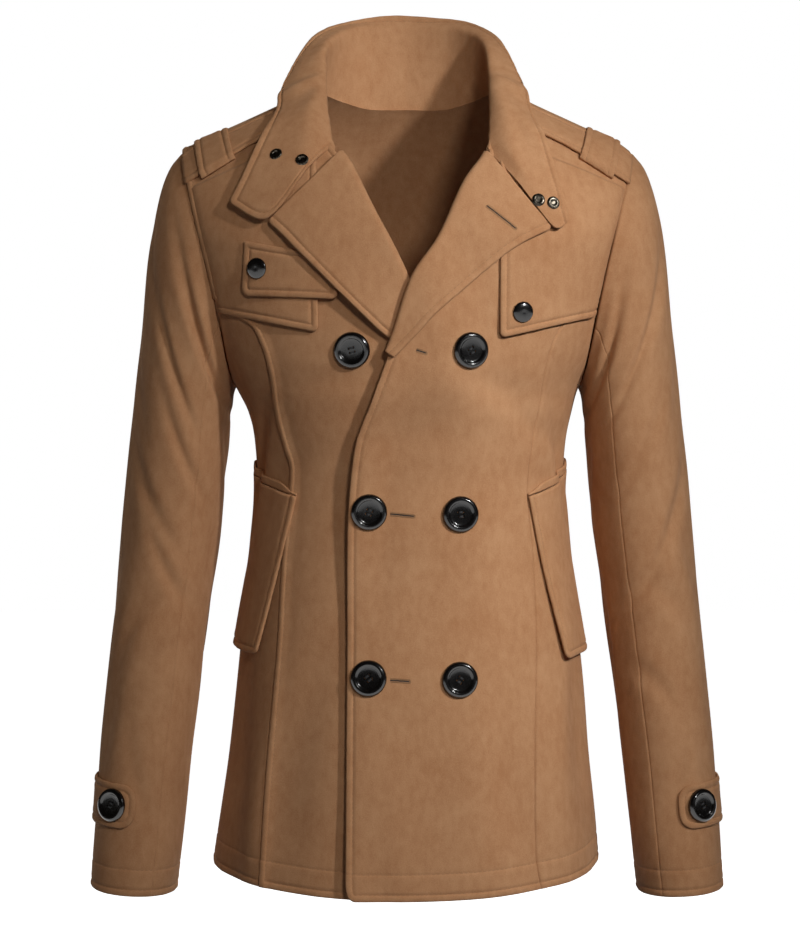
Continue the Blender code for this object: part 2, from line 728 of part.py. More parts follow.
POCKET_COLUMNS = ("down", "front_x", "z", "side_z")
RIGHT_POCKET = ((0, 97, -352, -332), (0.5, 113.5, -421, -414), (1, 131.5, -495, -493))
LEFT_POCKET = ((0, 107, -352, -330), (0.5, 121, -424, -414), (1, 138, -499, -496))


def pocket_lines(side, table, down):
    def of(name):
        return through(table, POCKET_COLUMNS, "down", name, down)

    front = turn_at(side * of("front_x"), of("z"))
    return front, of("z"), of("side_z")


def pocket_flap(name, side, table, finish):
    """The long flap below the slanted pocket, hanging free over the side."""
    down = np.linspace(0, 1, 8)
    front, front_z, side_z = pocket_lines(side, table, down)
    turn = spaced(front, np.full(8, side * POCKET_BEHIND), 8)
    share = np.clip((np.abs(turn) - np.abs(front)[:, None]) / (1 - np.abs(front)[:, None]), 0, 1)
    level = front_z[:, None] + (side_z - front_z)[:, None] * share
    out = FLAP_OUT + 0.5 + 3 * down[:, None] ** 2 * np.ones_like(turn)
    return body_cloth(name, turn, level, out, CLOTH, finish)


def pocket_welt(name, side, table, finish):
    """A narrow slanted strip along the pocket's mouth."""
    front, front_z, side_z = (value[0] for value in pocket_lines(side, table, np.array([0.0])))
    turn = np.linspace(front, side * 1.1, 7)
    share = np.clip((np.abs(turn) - abs(front)) / (1 - abs(front)), 0, 1)
    low = front_z + (side_z - front_z) * share + 0.8
    level = np.stack([low, low + WELT_DEPTH])
    return body_cloth(name, np.stack([turn, turn]), level, FLAP_OUT, CLOTH, finish)


# ---------------------------------------------------------------- sleeve tabs


def sleeve_tab(name, side, finish):
    """A strap round the outside of the cuff, from the back seam to a rounded end at the front."""
    angle = np.array([-98, -80, -60, -40, -20, 0, 20, 40, 58, 70, 77, 80.0])
    narrow = np.array([0, 0, 0, 0, 0, 0, 0, 0, 0, 0.03, 0.12, 0.24])
    width = TAB_ROWS[1] - TAB_ROWS[0]
    start, end = TAB_ROWS[0] + width * narrow, TAB_ROWS[1] - width * narrow
    row = np.stack([start, (start + end) / 2, end])
    angle = np.broadcast_to(angle, row.shape)
    points, normal = sleeve(angle, row), sleeve_normal(angle, row)
    out = LIFT + STRAP
    outer, inner = points + normal * out, points + normal * (out - STRAP)
    return wall(name, mirrored(outer, side), mirrored(inner, side), finish)


# ---------------------------------------------------------------- buttons and snaps


def turned(name, profile, steps):
    """A solid of revolution about Z from its profile of radius and height, top to bottom."""
    mesh = bpy.data.meshes.new(name)
    points = [(radius * MM, 0, height * MM) for radius, height in profile]
    mesh.from_pydata(points, [(i, i + 1) for i in range(len(points) - 1)], [])
    obj = bpy.data.objects.new(name, mesh)
    CUTTERS.objects.link(obj)
    obj.hide_render = True
    obj.display_type = "WIRE"
    screw = obj.modifiers.new("Turn", "SCREW")
    screw.steps = screw.render_steps = steps
    screw.use_merge_vertices = True
    screw.merge_threshold = 1e-5
    return obj


def four_holes(obj, spread, radius):
    """Cuts the button's four thread holes."""
    for index in range(4):
        angle = math.radians(45 + 90 * index)
        made = bmesh.new()
        bmesh.ops.create_cone(
            made, cap_ends=True, segments=6, radius1=radius * MM, radius2=radius * MM, depth=20 * MM
        )
        mesh = bpy.data.meshes.new("thread_hole")
        made.to_mesh(mesh)
        made.free()
        hole = bpy.data.objects.new("thread_hole", mesh)
        hole.location = (spread * math.cos(angle) * MM, spread * math.sin(angle) * MM, 0)
        hole.hide_render = True
        hole.display_type = "WIRE"
        CUTTERS.objects.link(hole)
        cut = obj.modifiers.new("Thread hole", "BOOLEAN")
        cut.object = hole
        cut.operation = "DIFFERENCE"


def mesh_of(obj):
    """The object's mesh with its modifiers applied."""
    bpy.context.view_layer.update()
    graph = bpy.context.evaluated_depsgraph_get()
    mesh = bpy.data.meshes.new_from_object(obj.evaluated_get(graph))
    mesh.shade_smooth()
    mesh.set_sharp_from_angle(angle=math.radians(35))
    return mesh


def big_button(size):
    """A four-hole coat button: a thick rounded rim round a dished middle."""
    r = size / 2
    profile = (
        (0, 2.6), (r * 0.55, 2.9), (r * 0.68, 4.4), (r * 0.84, 4.9), (r, 3.2), (r * 0.97, 1.6), (r * 0.7, 0), (0, 0),
    )
    obj = turned("big_button_blank", profile, 18)
    four_holes(obj, size * 0.085, 1.25)
    return mesh_of(obj)


def domed_button(size):
    r = size / 2
    profile = ((0, 3.6), (r * 0.5, 3.2), (r * 0.85, 2.1), (r, 0.9), (r * 0.9, 0), (0, 0))
    return mesh_of(turned("domed_button_blank", profile, 16))


def snap_ring(size):
    r = size / 2
    profile = ((0, 0.4), (r * 0.42, 0.5), (r * 0.55, 1.3), (r * 0.85, 1.4), (r, 0.5), (r * 0.9, 0), (0, 0))
    return mesh_of(turned("snap_blank", profile, 12))


def set_on(name, mesh, point, normal, finish):
    """Places a turned piece with its back against the cloth at a point."""
    obj = bpy.data.objects.new(name, mesh.copy())
    keep(obj, finish)
    obj.rotation_mode = "QUATERNION"
    obj.rotation_quaternion = Vector(normal).to_track_quat("Z", "Y")
    obj.location = Vector((point + normal * SEAT) * MM)
    return obj


def on_front(x, z, out, lap=False):
    """Where a button's back rests on what lies `out` outside the front at x and z, and which way it faces."""
    reach = BIG_BUTTON / 3
    x, z = x + np.array((0, reach, -reach, 0, 0)), z + np.array((0, 0, 0, reach, -reach))
    turn, level = facing(x, z)
    out = out + (lap_out(x, z) if lap else np.zeros(5))
    points = body(turn, level) + body_normal(turn, level) * out[:, None]
    normal = unit(np.cross(points[1] - points[2], points[3] - points[4]))
    return points[0] + normal * np.max((points - points[0]) @ normal), normal


def on_collar(x, z):
    """Point and normal of the collar's facet that the front view shows at x and z."""
    shown, hidden = collar_grids(COLLAR_STATIONS, COLLAR_AT)
    leaf = COLLAR_AT >= 0.4
    corners = [grid[:, leaf] for grid in (shown, hidden)]
    share = np.linspace(0, 1, 9)[:, None, None, None]
    fine = []
    for grid in corners:
        along = grid[:-1] * (1 - share) + grid[1:] * share
        share_up = share[:, None]
        fine.append(along[:, :, :-1] * (1 - share_up) + along[:, :, 1:] * share_up)
    flat = np.linalg.norm(fine[0][..., (0, 2)] - np.array((x, z)), axis=-1)
    nearest = np.unravel_index(np.argmin(flat), flat.shape)
    point, normal = fine[0][nearest], unit(fine[0][nearest] - fine[1][nearest])
    beneath = fine[0][np.linalg.norm(fine[0] - point, axis=-1) < SNAP / 2]
    return point + normal * np.max((beneath - point) @ normal), normal


# ---------------------------------------------------------------- the coat


def fronts():
    front_centre("front_centre_right", -1, UNDER_EDGE, LEFT_PRINCESS, 9, WOOL)
    front_centre("front_centre_left", 1, OVER_EDGE, RIGHT_PRINCESS, 9, WOOL)
    front_side("front_side_right", -1, LEFT_PRINCESS, 4, WOOL)
    front_side("front_side_left", 1, RIGHT_PRINCESS, 4, WOOL)
    back("back", WOOL)
    lapel("lapel_right", -1, UNDER_EDGE, RIGHT_LAPEL, WOOL)
    lapel("lapel_left", 1, OVER_EDGE, LEFT_LAPEL, WOOL)
    collar("collar", WOOL)


def laid_pieces():
    storm_flap("storm_flap_right", -1, RIGHT_STORM_FLAP, WOOL)
    storm_flap("storm_flap_left", 1, LEFT_STORM_FLAP, WOOL)
    chest_tab("chest_tab", CHEST_TAB, WOOL)
    for side, hand in ((-1, "right"), (1, "left")):
        epaulette(f"epaulette_{hand}", side, WOOL)
        epaulette_loop(f"epaulette_loop_{hand}", side, WOOL)
        pocket = RIGHT_POCKET if side < 0 else LEFT_POCKET
        pocket_flap(f"pocket_flap_{hand}", side, pocket, WOOL)
        pocket_welt(f"pocket_welt_{hand}", side, pocket, WOOL)


def sleeves():
    for side, hand in ((-1, "right"), (1, "left")):
        behind = BACK_SLEEVE_SEAM - 360
        top_columns = (FRONT_SLEEVE_SEAM - behind) // 15 + 1
        under_columns = (BACK_SLEEVE_SEAM - FRONT_SLEEVE_SEAM) // 15 + 1
        sleeve_cloth(f"top_sleeve_{hand}", side, behind, FRONT_SLEEVE_SEAM, top_columns, WOOL)
        sleeve_cloth(
            f"under_sleeve_{hand}", side, FRONT_SLEEVE_SEAM, BACK_SLEEVE_SEAM, under_columns, WOOL
        )
        sleeve_tab(f"sleeve_tab_{hand}", side, WOOL)


BIG_BUTTONS = (
    # name, x, z, on the overlapping front
    ("right_1", -48, -221.5, False),
    ("right_2", -32.5, -364, True),
    ("right_3", -33, -509.5, True),
    ("left_1", 55, -221.5, True),
    ("left_2", 46.5, -366, True),
    ("left_3", 46, -511, True),
)
SNAPS = (("right_1", -116.6, -50), ("right_2", -89, -56.5), ("left_1", 129, -94), ("left_2", 110, -96))
FLAP_BUTTONS = (("right", -131.5, -149, TAB_OUT), ("left", 100.5, -188, FLAP_OUT + 0.9))


def fastenings():
    big = big_button(BIG_BUTTON)
    for name, x, z, over in BIG_BUTTONS:
        set_on(f"button_{name}", big, *on_front(x, z, 0, lap=over), HORN)
    small = domed_button(FLAP_BUTTON)
    for name, x, z, out in FLAP_BUTTONS:
        set_on(f"flap_button_{name}", small, *on_front(x, z, out), HORN)
    cuff = big_button(CUFF_BUTTON)
    for side, hand in ((-1, "right"), (1, "left")):
        row = sum(TAB_ROWS) / 2
        point, normal = sleeve(CUFF_BUTTON_ANGLE, row), sleeve_normal(CUFF_BUTTON_ANGLE, row)
        point = point + normal * (LIFT + STRAP - FACET_SAG)
        set_on(f"cuff_button_{hand}", cuff, mirrored(point, side), mirrored(normal, side), HORN)
    ring = snap_ring(SNAP)
    for name, x, z in SNAPS:
        set_on(f"snap_{name}", ring, *on_collar(x, z), NICKEL)


for old in list(bpy.data.objects):
    bpy.data.objects.remove(old)
COAT = bpy.data.collections.new("short_trench_coat")
CUTTERS = bpy.data.collections.new("cutters")
for collection in (COAT, CUTTERS):
    bpy.context.scene.collection.children.link(collection)
CUTTERS.hide_render = True
WOOL = material("Camel wool melton", (0.42, 0.232, 0.115), 0.95)
HORN = material("Black horn", (0.012, 0.012, 0.014), 0.3)
NICKEL = material("Aged nickel", (0.5, 0.48, 0.44), 0.35, 1.0)

fronts()
laid_pieces()
sleeves()
fastenings()
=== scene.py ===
# %% [markdown]
# # A short double-breasted coat
#
# The coat is brushed camel melton: fulled wool, cut in panels and sewn. It is shown filled out and hollow,
# as on a wearer. Its solids are already at hand, so each piece of cloth is remade here on the same form,
# with a much finer surface: rolled edges, sewn grooves and soft creases. Lengths are millimetres until a
# mesh is made.

# %% Load the fixed frame
import json
import math

import bmesh
import bpy
import numpy as np
from mathutils import Matrix, Vector

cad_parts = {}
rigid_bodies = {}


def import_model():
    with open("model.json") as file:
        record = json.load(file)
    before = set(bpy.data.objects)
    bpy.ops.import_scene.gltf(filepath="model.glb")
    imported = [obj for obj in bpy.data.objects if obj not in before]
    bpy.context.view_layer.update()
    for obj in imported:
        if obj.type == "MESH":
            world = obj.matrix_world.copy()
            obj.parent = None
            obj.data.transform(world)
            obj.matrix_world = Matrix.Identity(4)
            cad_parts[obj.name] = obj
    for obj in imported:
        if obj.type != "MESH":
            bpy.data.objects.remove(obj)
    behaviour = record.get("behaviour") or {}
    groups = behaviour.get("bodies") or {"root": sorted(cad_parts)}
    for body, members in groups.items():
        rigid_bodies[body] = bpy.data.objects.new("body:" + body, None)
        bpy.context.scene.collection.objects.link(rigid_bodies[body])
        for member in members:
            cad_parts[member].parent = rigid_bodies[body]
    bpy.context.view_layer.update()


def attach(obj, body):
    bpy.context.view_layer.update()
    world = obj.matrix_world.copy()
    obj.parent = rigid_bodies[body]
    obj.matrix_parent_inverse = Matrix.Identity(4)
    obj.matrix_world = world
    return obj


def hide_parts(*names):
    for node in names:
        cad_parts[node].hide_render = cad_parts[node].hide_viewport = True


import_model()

MM = 0.001


# %% [markdown]
# ## Camera
#
# A long lens from two and a half metres away, a little below the shoulders, gives the flat look of a
# catalogue picture. A view camera would shift its lens to keep the coat upright in the frame. Here the
# camera is tipped and swung by a degree or three instead, so that the same coat can be turned and looked at
# from other sides.

# %% Camera
EYE = (0, -2.5, -0.204)
FOCAL_PIXELS = 2717
FRAME_SIZE = (800, 947)
MIDDLE_COLUMN = 407  # where the coat's middle stands in the frame
EYE_ROW = 330  # the row at the height of the eye

camera = bpy.data.objects.new("camera", bpy.data.cameras.new("camera"))
bpy.context.scene.collection.objects.link(camera)
camera.location = EYE
camera.data.lens = FOCAL_PIXELS / FRAME_SIZE[1] * camera.data.sensor_width
tip = math.atan((FRAME_SIZE[1] / 2 - EYE_ROW) / FOCAL_PIXELS)
swing = math.atan((MIDDLE_COLUMN - FRAME_SIZE[0] / 2) / FOCAL_PIXELS)
camera.rotation_euler = (math.pi / 2 - tip, 0, swing)
bpy.context.scene.camera = camera
print("lens", round(camera.data.lens, 1), "mm, tipped", round(math.degrees(tip), 2), "degrees")

# %% [markdown]
# ## Helpers
#
# Three small functions serve the whole script. Operators act on whatever is selected, so each piece that is
# made by hand starts from an empty selection. Colours are written as they are picked on a screen and turned
# linear once. And one function adds a node to a material, so that a finish reads as a short list of nodes.

# %% Helpers
def nothing_selected():
    """Leaves edit mode and selects nothing."""
    if bpy.context.mode != "OBJECT":
        bpy.ops.object.mode_set(mode="OBJECT")
    bpy.ops.object.select_all(action="DESELECT")


def linear(hex_colour):
    """A colour as sRGB hex, turned into the linear values that Blender works in."""
    values = [int(hex_colour[i : i + 2], 16) / 255 for i in (1, 3, 5)]
    return tuple(v / 12.92 if v <= 0.04045 else ((v + 0.055) / 1.055) ** 2.4 for v in values) + (1,)


def node(tree, kind, settings=None, **links):
    """Adds one node. A socket is named, or numbered as _0. A link is another node's output."""
    made = tree.nodes.new("ShaderNode" + kind)
    for name, value in (settings or {}).items():
        if isinstance(name, int) or name in made.inputs:
            made.inputs[name].default_value = value
        else:
            setattr(made, name, value)
    for name, output in links.items():
        tree.links.new(output, made.inputs[int(name[1:]) if name[1:].isdigit() else name])
    return made


print("mid grey as Blender stores it:", round(linear("#808080")[0], 3))

# %% [markdown]
# ## Floor and lights
#
# A catalogue picture is taken on white paper, and cut out, so the coat seems to float. The paper here is
# one wide plane that glows by itself, far enough below the hem that it takes no shadow. It could light the
# coat from beneath, which a real cut-out never shows, so the coat's wool doesn't see it. The key light
# stands to the coat's left, so that laid-on edges throw their shadows to the other side. Its beam is narrow
# and tall, and falls off towards the sleeves, and weaker lamps fill the sides and the back.

# %% Floor
FLOOR = -1.3
FLOOR_WIDTH = 16

nothing_selected()
bpy.ops.mesh.primitive_plane_add(size=FLOOR_WIDTH, location=(0, 0, FLOOR))
ground = bpy.context.active_object
ground.name = "studio_floor"
bpy.ops.object.transform_apply(location=True, rotation=True, scale=True)
ground.visible_diffuse = False  # it is seen, but it throws no light up at the coat

PAPER = bpy.data.materials.new("White background paper")
PAPER.use_nodes = True
paper = PAPER.node_tree.nodes["Principled BSDF"]
paper.inputs["Base Color"].default_value = linear("#F7F7F5")
paper.inputs["Roughness"].default_value = 0.95
paper.inputs["Emission Color"].default_value = linear("#FFFFFF")
paper.inputs["Emission Strength"].default_value = 1.0
ground.data.materials.append(PAPER)
print("floor:", FLOOR_WIDTH, "m wide at", FLOOR)

# %% Lights
KEY_PLACE, KEY_TARGET = (1.83, -2.06, 1.1), (0.01, 0, -0.31)
KEY_WATTS = 300
KEY_BEAM = 31  # degrees
KEY_NARROWED = 0.3  # the beam's width, as a share of its height
KEY_SOURCE = 0.16  # metres: the larger the source, the softer the shadows
WARM = (1, 0.95, 0.9)
LIGHTS = (
    # name, place in metres, width, watts, what it looks at
    ("front", (0.72, -2.7, 0.85), 0.4, 25, (0, 0, -0.3)),
    ("left of the lens", (-0.9, -2.8, -0.2), 0.8, 3, (0, 0, -0.35)),
    ("top", (-0.1, 0.5, 2.6), 1.0, 3, (0, 0, -0.3)),
    ("behind", (0.95, 2.9, 0.5), 0.9, 32, (0, 0, -0.3)),
    ("behind, far side", (-1.6, 2.3, 0.2), 1.0, 12, (0, 0, -0.3)),
    ("side", (-2.9, 0.5, 0.3), 0.8, 5, (0, 0, -0.3)),
)


def lamp_at(name, kind, place, target, watts):
    lamp = bpy.data.objects.new(name, bpy.data.lights.new(name, kind))
    bpy.context.scene.collection.objects.link(lamp)
    lamp.location = place
    lamp.rotation_euler = (Vector(target) - Vector(place)).to_track_quat("-Z", "Y").to_euler()
    lamp.data.energy = watts
    return lamp


for name, place, width, watts, target in LIGHTS:
    lamp = lamp_at(name, "AREA", place, target, watts)
    lamp.data.size = width
    lamp.data.color = WARM
    lamp.visible_glossy = False  # or the buttons would mirror it
key = lamp_at("key", "SPOT", KEY_PLACE, KEY_TARGET, KEY_WATTS)
key.scale = (KEY_NARROWED, 1, 1)
key.data.spot_size = math.radians(KEY_BEAM)
key.data.spot_blend = 1.0
key.data.shadow_soft_size = KEY_SOURCE
print("lights: key,", ", ".join(row[0] for row in LIGHTS))

# %% The room
ROOM_GLOW = 0.022  # the room looks white, but lights the coat much less than a white room would

world = bpy.data.worlds.new("studio")
world.use_nodes = True
room = world.node_tree.nodes["Background"]
room.inputs["Color"].default_value = linear("#FFE3C4")
room.inputs["Strength"].default_value = ROOM_GLOW
seen = node(world.node_tree, "Background", {"Color": linear("#FFFFFF"), "Strength": 1.0})
rays = node(world.node_tree, "LightPath").outputs["Is Camera Ray"]
which = node(world.node_tree, "MixShader", {}, _0=rays, _1=room.outputs[0], _2=seen.outputs[0])
world.node_tree.links.new(which.outputs[0], world.node_tree.nodes["World Output"].inputs["Surface"])
bpy.context.scene.world = world
bpy.context.scene.view_settings.view_transform = "Standard"
print("room:", ROOM_GLOW, "of white")

# %% [markdown]
# ## Wool
#
# Melton is woven wool that is fulled until the weave disappears under a short felted nap, then brushed. Its
# colour is a mix of slightly different fibres. One could draw each fibre as a hair, at a great cost, or
# paint the cloth in one flat colour, which looks like clay. Three patterns of noise at three real scales do
# it here: the fibres, the way the nap lies, and the clouds that the brush leaves. The bump is slight, and
# the sheen is the light that fibres catch at the edges of a form.

# %% Wool melton: no gloss, a soft mottle, and a pale bloom where it turns away
WOOL_LIGHT = "#BC8F69"
WOOL_DEEP = "#AA7A55"
FIBRE = 0.0010  # clumps of fibre, drawn coarser than the real 0.1 mm so that they show
PATCH_OF_NAP = 0.007  # the nap lies a little differently from one patch to the next
CLOUD = 0.05  # the brushing leaves clouds this wide


def start_finish(name):
    """A new material: its nodes, its shader, and the place on the coat that its patterns are drawn from."""
    finish = bpy.data.materials.new(name)
    finish.use_nodes = True
    tree = finish.node_tree
    return finish, tree, tree.nodes["Principled BSDF"], node(tree, "TexCoord").outputs["Object"]


WOOL, tree, shader, place = start_finish("Camel wool melton, fulled and brushed")
fibres = node(tree, "TexNoise", {"Scale": 1 / FIBRE, "Detail": 3.0, "Roughness": 0.65}, Vector=place)
brushing = node(tree, "Mapping", {"Scale": (1, 1, 0.62)}, Vector=place)
nap = node(tree, "TexNoise", {"Scale": 1 / PATCH_OF_NAP, "Detail": 3.0}, Vector=brushing.outputs["Vector"])
clouds = node(tree, "TexNoise", {"Scale": 1 / CLOUD, "Detail": 3.0}, Vector=place)
mottle = node(tree, "Math", {"operation": "MULTIPLY", 1: 0.36}, _0=fibres.outputs["Fac"])
for pattern, share in ((nap, 0.34), (clouds, 0.3)):
    settings = {"operation": "MULTIPLY_ADD", 1: share}
    mottle = node(tree, "Math", settings, _0=pattern.outputs["Fac"], _2=mottle.outputs[0])
shades = node(tree, "ValToRGB", {}, Fac=mottle.outputs[0])
shades.color_ramp.elements[0].position = 0.38
shades.color_ramp.elements[0].color = linear(WOOL_DEEP)
shades.color_ramp.elements[1].position = 0.62
shades.color_ramp.elements[1].color = linear(WOOL_LIGHT)
tree.links.new(shades.outputs["Color"], shader.inputs["Base Color"])
felt = node(tree, "Bump", {"Strength": 0.45, "Distance": 0.0004}, Height=fibres.outputs["Fac"])
slight = {"Strength": 0.25, "Distance": 0.0006}
lie = node(tree, "Bump", slight, Height=nap.outputs["Fac"], Normal=felt.outputs["Normal"])
tree.links.new(lie.outputs["Normal"], shader.inputs["Normal"])
shader.inputs["Roughness"].default_value = 0.95
shader.inputs["Specular IOR Level"].default_value = 0.15
shader.inputs["Sheen Weight"].default_value = 0.12
shader.inputs["Sheen Roughness"].default_value = 0.5
shader.inputs["Sheen Tint"].default_value = linear("#E8CBA8")
print("finish:", WOOL.name)

# %% [markdown]
# ## Thread, horn and nickel
#
# The seams are sewn with thread a shade darker than the wool. The buttons are black horn, turned on a lathe
# and polished, and the snaps are pressed brass with a nickel plate that has worn and darkened. All three
# could be one flat colour at this distance, but a little unevenness in the gloss is what makes them look
# handled.

# %% Sewing thread: a dull twisted line
PLY = 0.0009  # one turn of the twist, about twice the real one so that it shows

THREAD, tree, shader, place = start_finish("Spun polyester sewing thread")
twist = node(tree, "TexNoise", {"Scale": 1 / PLY, "Detail": 2.0}, Vector=place)
shades = node(tree, "ValToRGB", {}, Fac=twist.outputs["Fac"])
shades.color_ramp.elements[0].color = linear("#8A6340")
shades.color_ramp.elements[1].color = linear("#A67E57")
tree.links.new(shades.outputs["Color"], shader.inputs["Base Color"])
plies = node(tree, "Bump", {"Strength": 0.4, "Distance": 0.0001}, Height=twist.outputs["Fac"])
tree.links.new(plies.outputs["Normal"], shader.inputs["Normal"])
shader.inputs["Roughness"].default_value = 0.6
print("finish:", THREAD.name)

# %% Black horn: deep and glossy, with small sharp highlights that break up a little
STREAK = 0.009  # length of the paler streaks in the horn
POLISH_MARK = 0.0016

HORN, tree, shader, place = start_finish("Black horn, turned and polished")
streaks = node(tree, "TexNoise", {"Scale": 1 / STREAK, "Detail": 4.0, "Distortion": 1.2}, Vector=place)
shades = node(tree, "ValToRGB", {}, Fac=streaks.outputs["Fac"])
shades.color_ramp.elements[0].position = 0.42
shades.color_ramp.elements[0].color = linear("#050506")
shades.color_ramp.elements[1].position = 0.8
shades.color_ramp.elements[1].color = linear("#100E0F")
tree.links.new(shades.outputs["Color"], shader.inputs["Base Color"])
polish = node(tree, "TexNoise", {"Scale": 1 / POLISH_MARK, "Detail": 3.0}, Vector=place)
wear = node(tree, "MapRange", {"To Min": 0.14, "To Max": 0.26}, Value=polish.outputs["Fac"])
tree.links.new(wear.outputs["Result"], shader.inputs["Roughness"])
turning = node(tree, "Bump", {"Strength": 0.12, "Distance": 0.0001}, Height=polish.outputs["Fac"])
tree.links.new(turning.outputs["Normal"], shader.inputs["Normal"])
shader.inputs["IOR"].default_value = 1.56
shader.inputs["Coat Weight"].default_value = 0.4
shader.inputs["Coat Roughness"].default_value = 0.12
print("finish:", HORN.name)

# %% Aged nickel: a warm grey metal, darker where it is tarnished
TARNISH = 0.0022  # width of a darkened spot

NICKEL, tree, shader, place = start_finish("Aged nickel plate on pressed brass")
tarnish = node(tree, "TexNoise", {"Scale": 1 / TARNISH, "Detail": 4.0}, Vector=place)
shades = node(tree, "ValToRGB", {}, Fac=tarnish.outputs["Fac"])
shades.color_ramp.elements[0].position = 0.35
shades.color_ramp.elements[0].color = linear("#1E1A16")
shades.color_ramp.elements[1].position = 0.62
shades.color_ramp.elements[1].color = linear("#6B6459")
tree.links.new(shades.outputs["Color"], shader.inputs["Base Color"])
shader.inputs["Metallic"].default_value = 1.0
shader.inputs["Roughness"].default_value = 0.34
print("finish:", NICKEL.name)

# %% [markdown]
# ## The coat's form
#
# A cutter works from a few girths and heights. The same few numbers are tables here, and each form is a
# function: give it a turn round the body and a level, and it returns a point. Every panel, flap and stitch
# asks the same functions, so the pieces fit each other however fine their grids are.

# %% Curves through tables
def column(table, names, name):
    return np.array([row[names.index(name)] for row in table], float)


def through(table, names, key, name, at):
    """One column of a table where its key column equals `at`, on a curve that never overshoots its rows."""
    keys, values = column(table, names, key), column(table, names, name)
    order = np.argsort(keys)
    keys, values = keys[order], values[order]
    at = np.clip(np.asarray(at, float), keys[0], keys[-1])
    step = np.diff(keys)
    slope = np.diff(values) / step
    before, after = slope[:-1], slope[1:]
    same_way = before * after > 0
    total = np.where(same_way, before + after, 1)
    middle = np.where(same_way, 2 * before * after / total, 0)
    tangent = np.concatenate([slope[:1], middle, slope[-1:]])
    i = np.clip(np.searchsorted(keys, at, side="right") - 1, 0, len(keys) - 2)
    u = (at - keys[i]) / step[i]
    rise = values[i] * (1 + 2 * u) * (1 - u) ** 2 + values[i + 1] * (3 - 2 * u) * u**2
    return rise + step[i] * (tangent[i] * u * (1 - u) ** 2 - tangent[i + 1] * (1 - u) * u**2)


def read_pairs(table, at):
    """The second column of a table of pairs, where its first equals `at`."""
    return through(table, ("at", "value"), "at", "value", at)


def read_line(values, at):
    """Points listed for 0, 1, 2 ... read at places between."""
    places = np.arange(len(values))
    return np.stack([np.interp(at, places, values[:, k]) for k in range(3)], axis=-1)


def ease(value, start, end):
    """0 before start, 1 after end, and smooth between them. start may lie above end."""
    u = np.clip((np.asarray(value, float) - start) / (end - start), 0, 1)
    return u * u * (3 - 2 * u)


def unit(vector):
    return vector / np.maximum(np.linalg.norm(vector, axis=-1, keepdims=True), 1e-9)


print("halfway between two rows, 0 and 10:", read_pairs(((0, 0), (1, 10)), 0.5))

# %% Tables of the body
CLOTH = 2.2  # melton wall
HEM_LEVEL = -704
HEM_RISE = 12  # the hem is this much higher at the sides
HEM_RISE_FROM = -500
SHOULDER_START = -130  # above this the body rounds over to the shoulder seam
SHOULDER_Y = 8
SHOULDER_ROUND = 1.7
BODY_ROUND = 2.3

BODY_COLUMNS = ("level", "half_width", "shift", "front", "back")
BODY = (
    (0, 235, 0, 118, 112), (-70, 228, 0, 122, 115), (-130, 211, 0, 125, 117), (-190, 189, 0, 127, 114),
    (-224, 174, 0, 126, 109), (-255, 157.3, 0, 124, 104), (-280, 148, 2.5, 121, 100),
    (-306, 142.5, 3, 118, 96), (-345, 139.5, 3, 115, 93), (-400, 143.5, 3, 117, 98),
    (-495, 156, 3, 126, 117), (-600, 165.5, 2, 135, 129), (-704, 178, -1, 144, 138),
)
# Pairs of x and z along the shoulder seam.
SHOULDER = ((0, 36), (78, 20), (121, 0), (163, -19), (191, -31), (205, -41), (250, -86))

# Pairs of z and x down the fronts' edges and the princess seams, as the front view shows them.
UNDER_EDGE = (
    (20, -78), (-35, -70), (-58, -54), (-99, -33), (-134, -14), (-160, -2), (-223, 15),
    (-270, 33), (-320, 46), (-380, 51), (-704, 53),
)
OVER_EDGE = (
    (20, 78), (-45, 73), (-77, 53), (-124, 31), (-160, 7), (-211, -10.5), (-227, -16.5),
    (-264, -29.5), (-306, -43.5), (-350, -48), (-384, -50), (-512, -51.5), (-690, -52), (-704, -49),
)
RIGHT_PRINCESS = (
    (-176, 172), (-190, 152), (-203, 134.5), (-239, 122), (-265, 118.5), (-338, 104), (-407, 110),
    (-531, 117), (-617, 125), (-704, 131),
)
LEFT_PRINCESS = (
    (-176, 172), (-190, 152), (-203, 134.5), (-239, 122), (-265, 118.5), (-345, 107), (-407, 112.5),
    (-493, 115), (-580, 113), (-667, 114.5), (-704, 120),
)
BACK_NECK = ((0, -49), (30, -45), (55, -33), (70, -17), (78, -1))  # x and level
BACK_NECK_HALF = 77  # beyond this x the back ends at the shoulder seam
ARMHOLE_TOP = (205, -41)  # x, z on the shoulder seam
ARMHOLE_BOTTOM = (157.3, -255)
ARMHOLE_BOW = 3
PRINCESS_STOP = 1.2  # a princess seam keeps this far inside the armhole
EDGE_STEPS_TO_MEET = 12
print("body:", -HEM_LEVEL, "mm long below the shoulders,", 2 * BODY[-1][1], "mm across the hem")
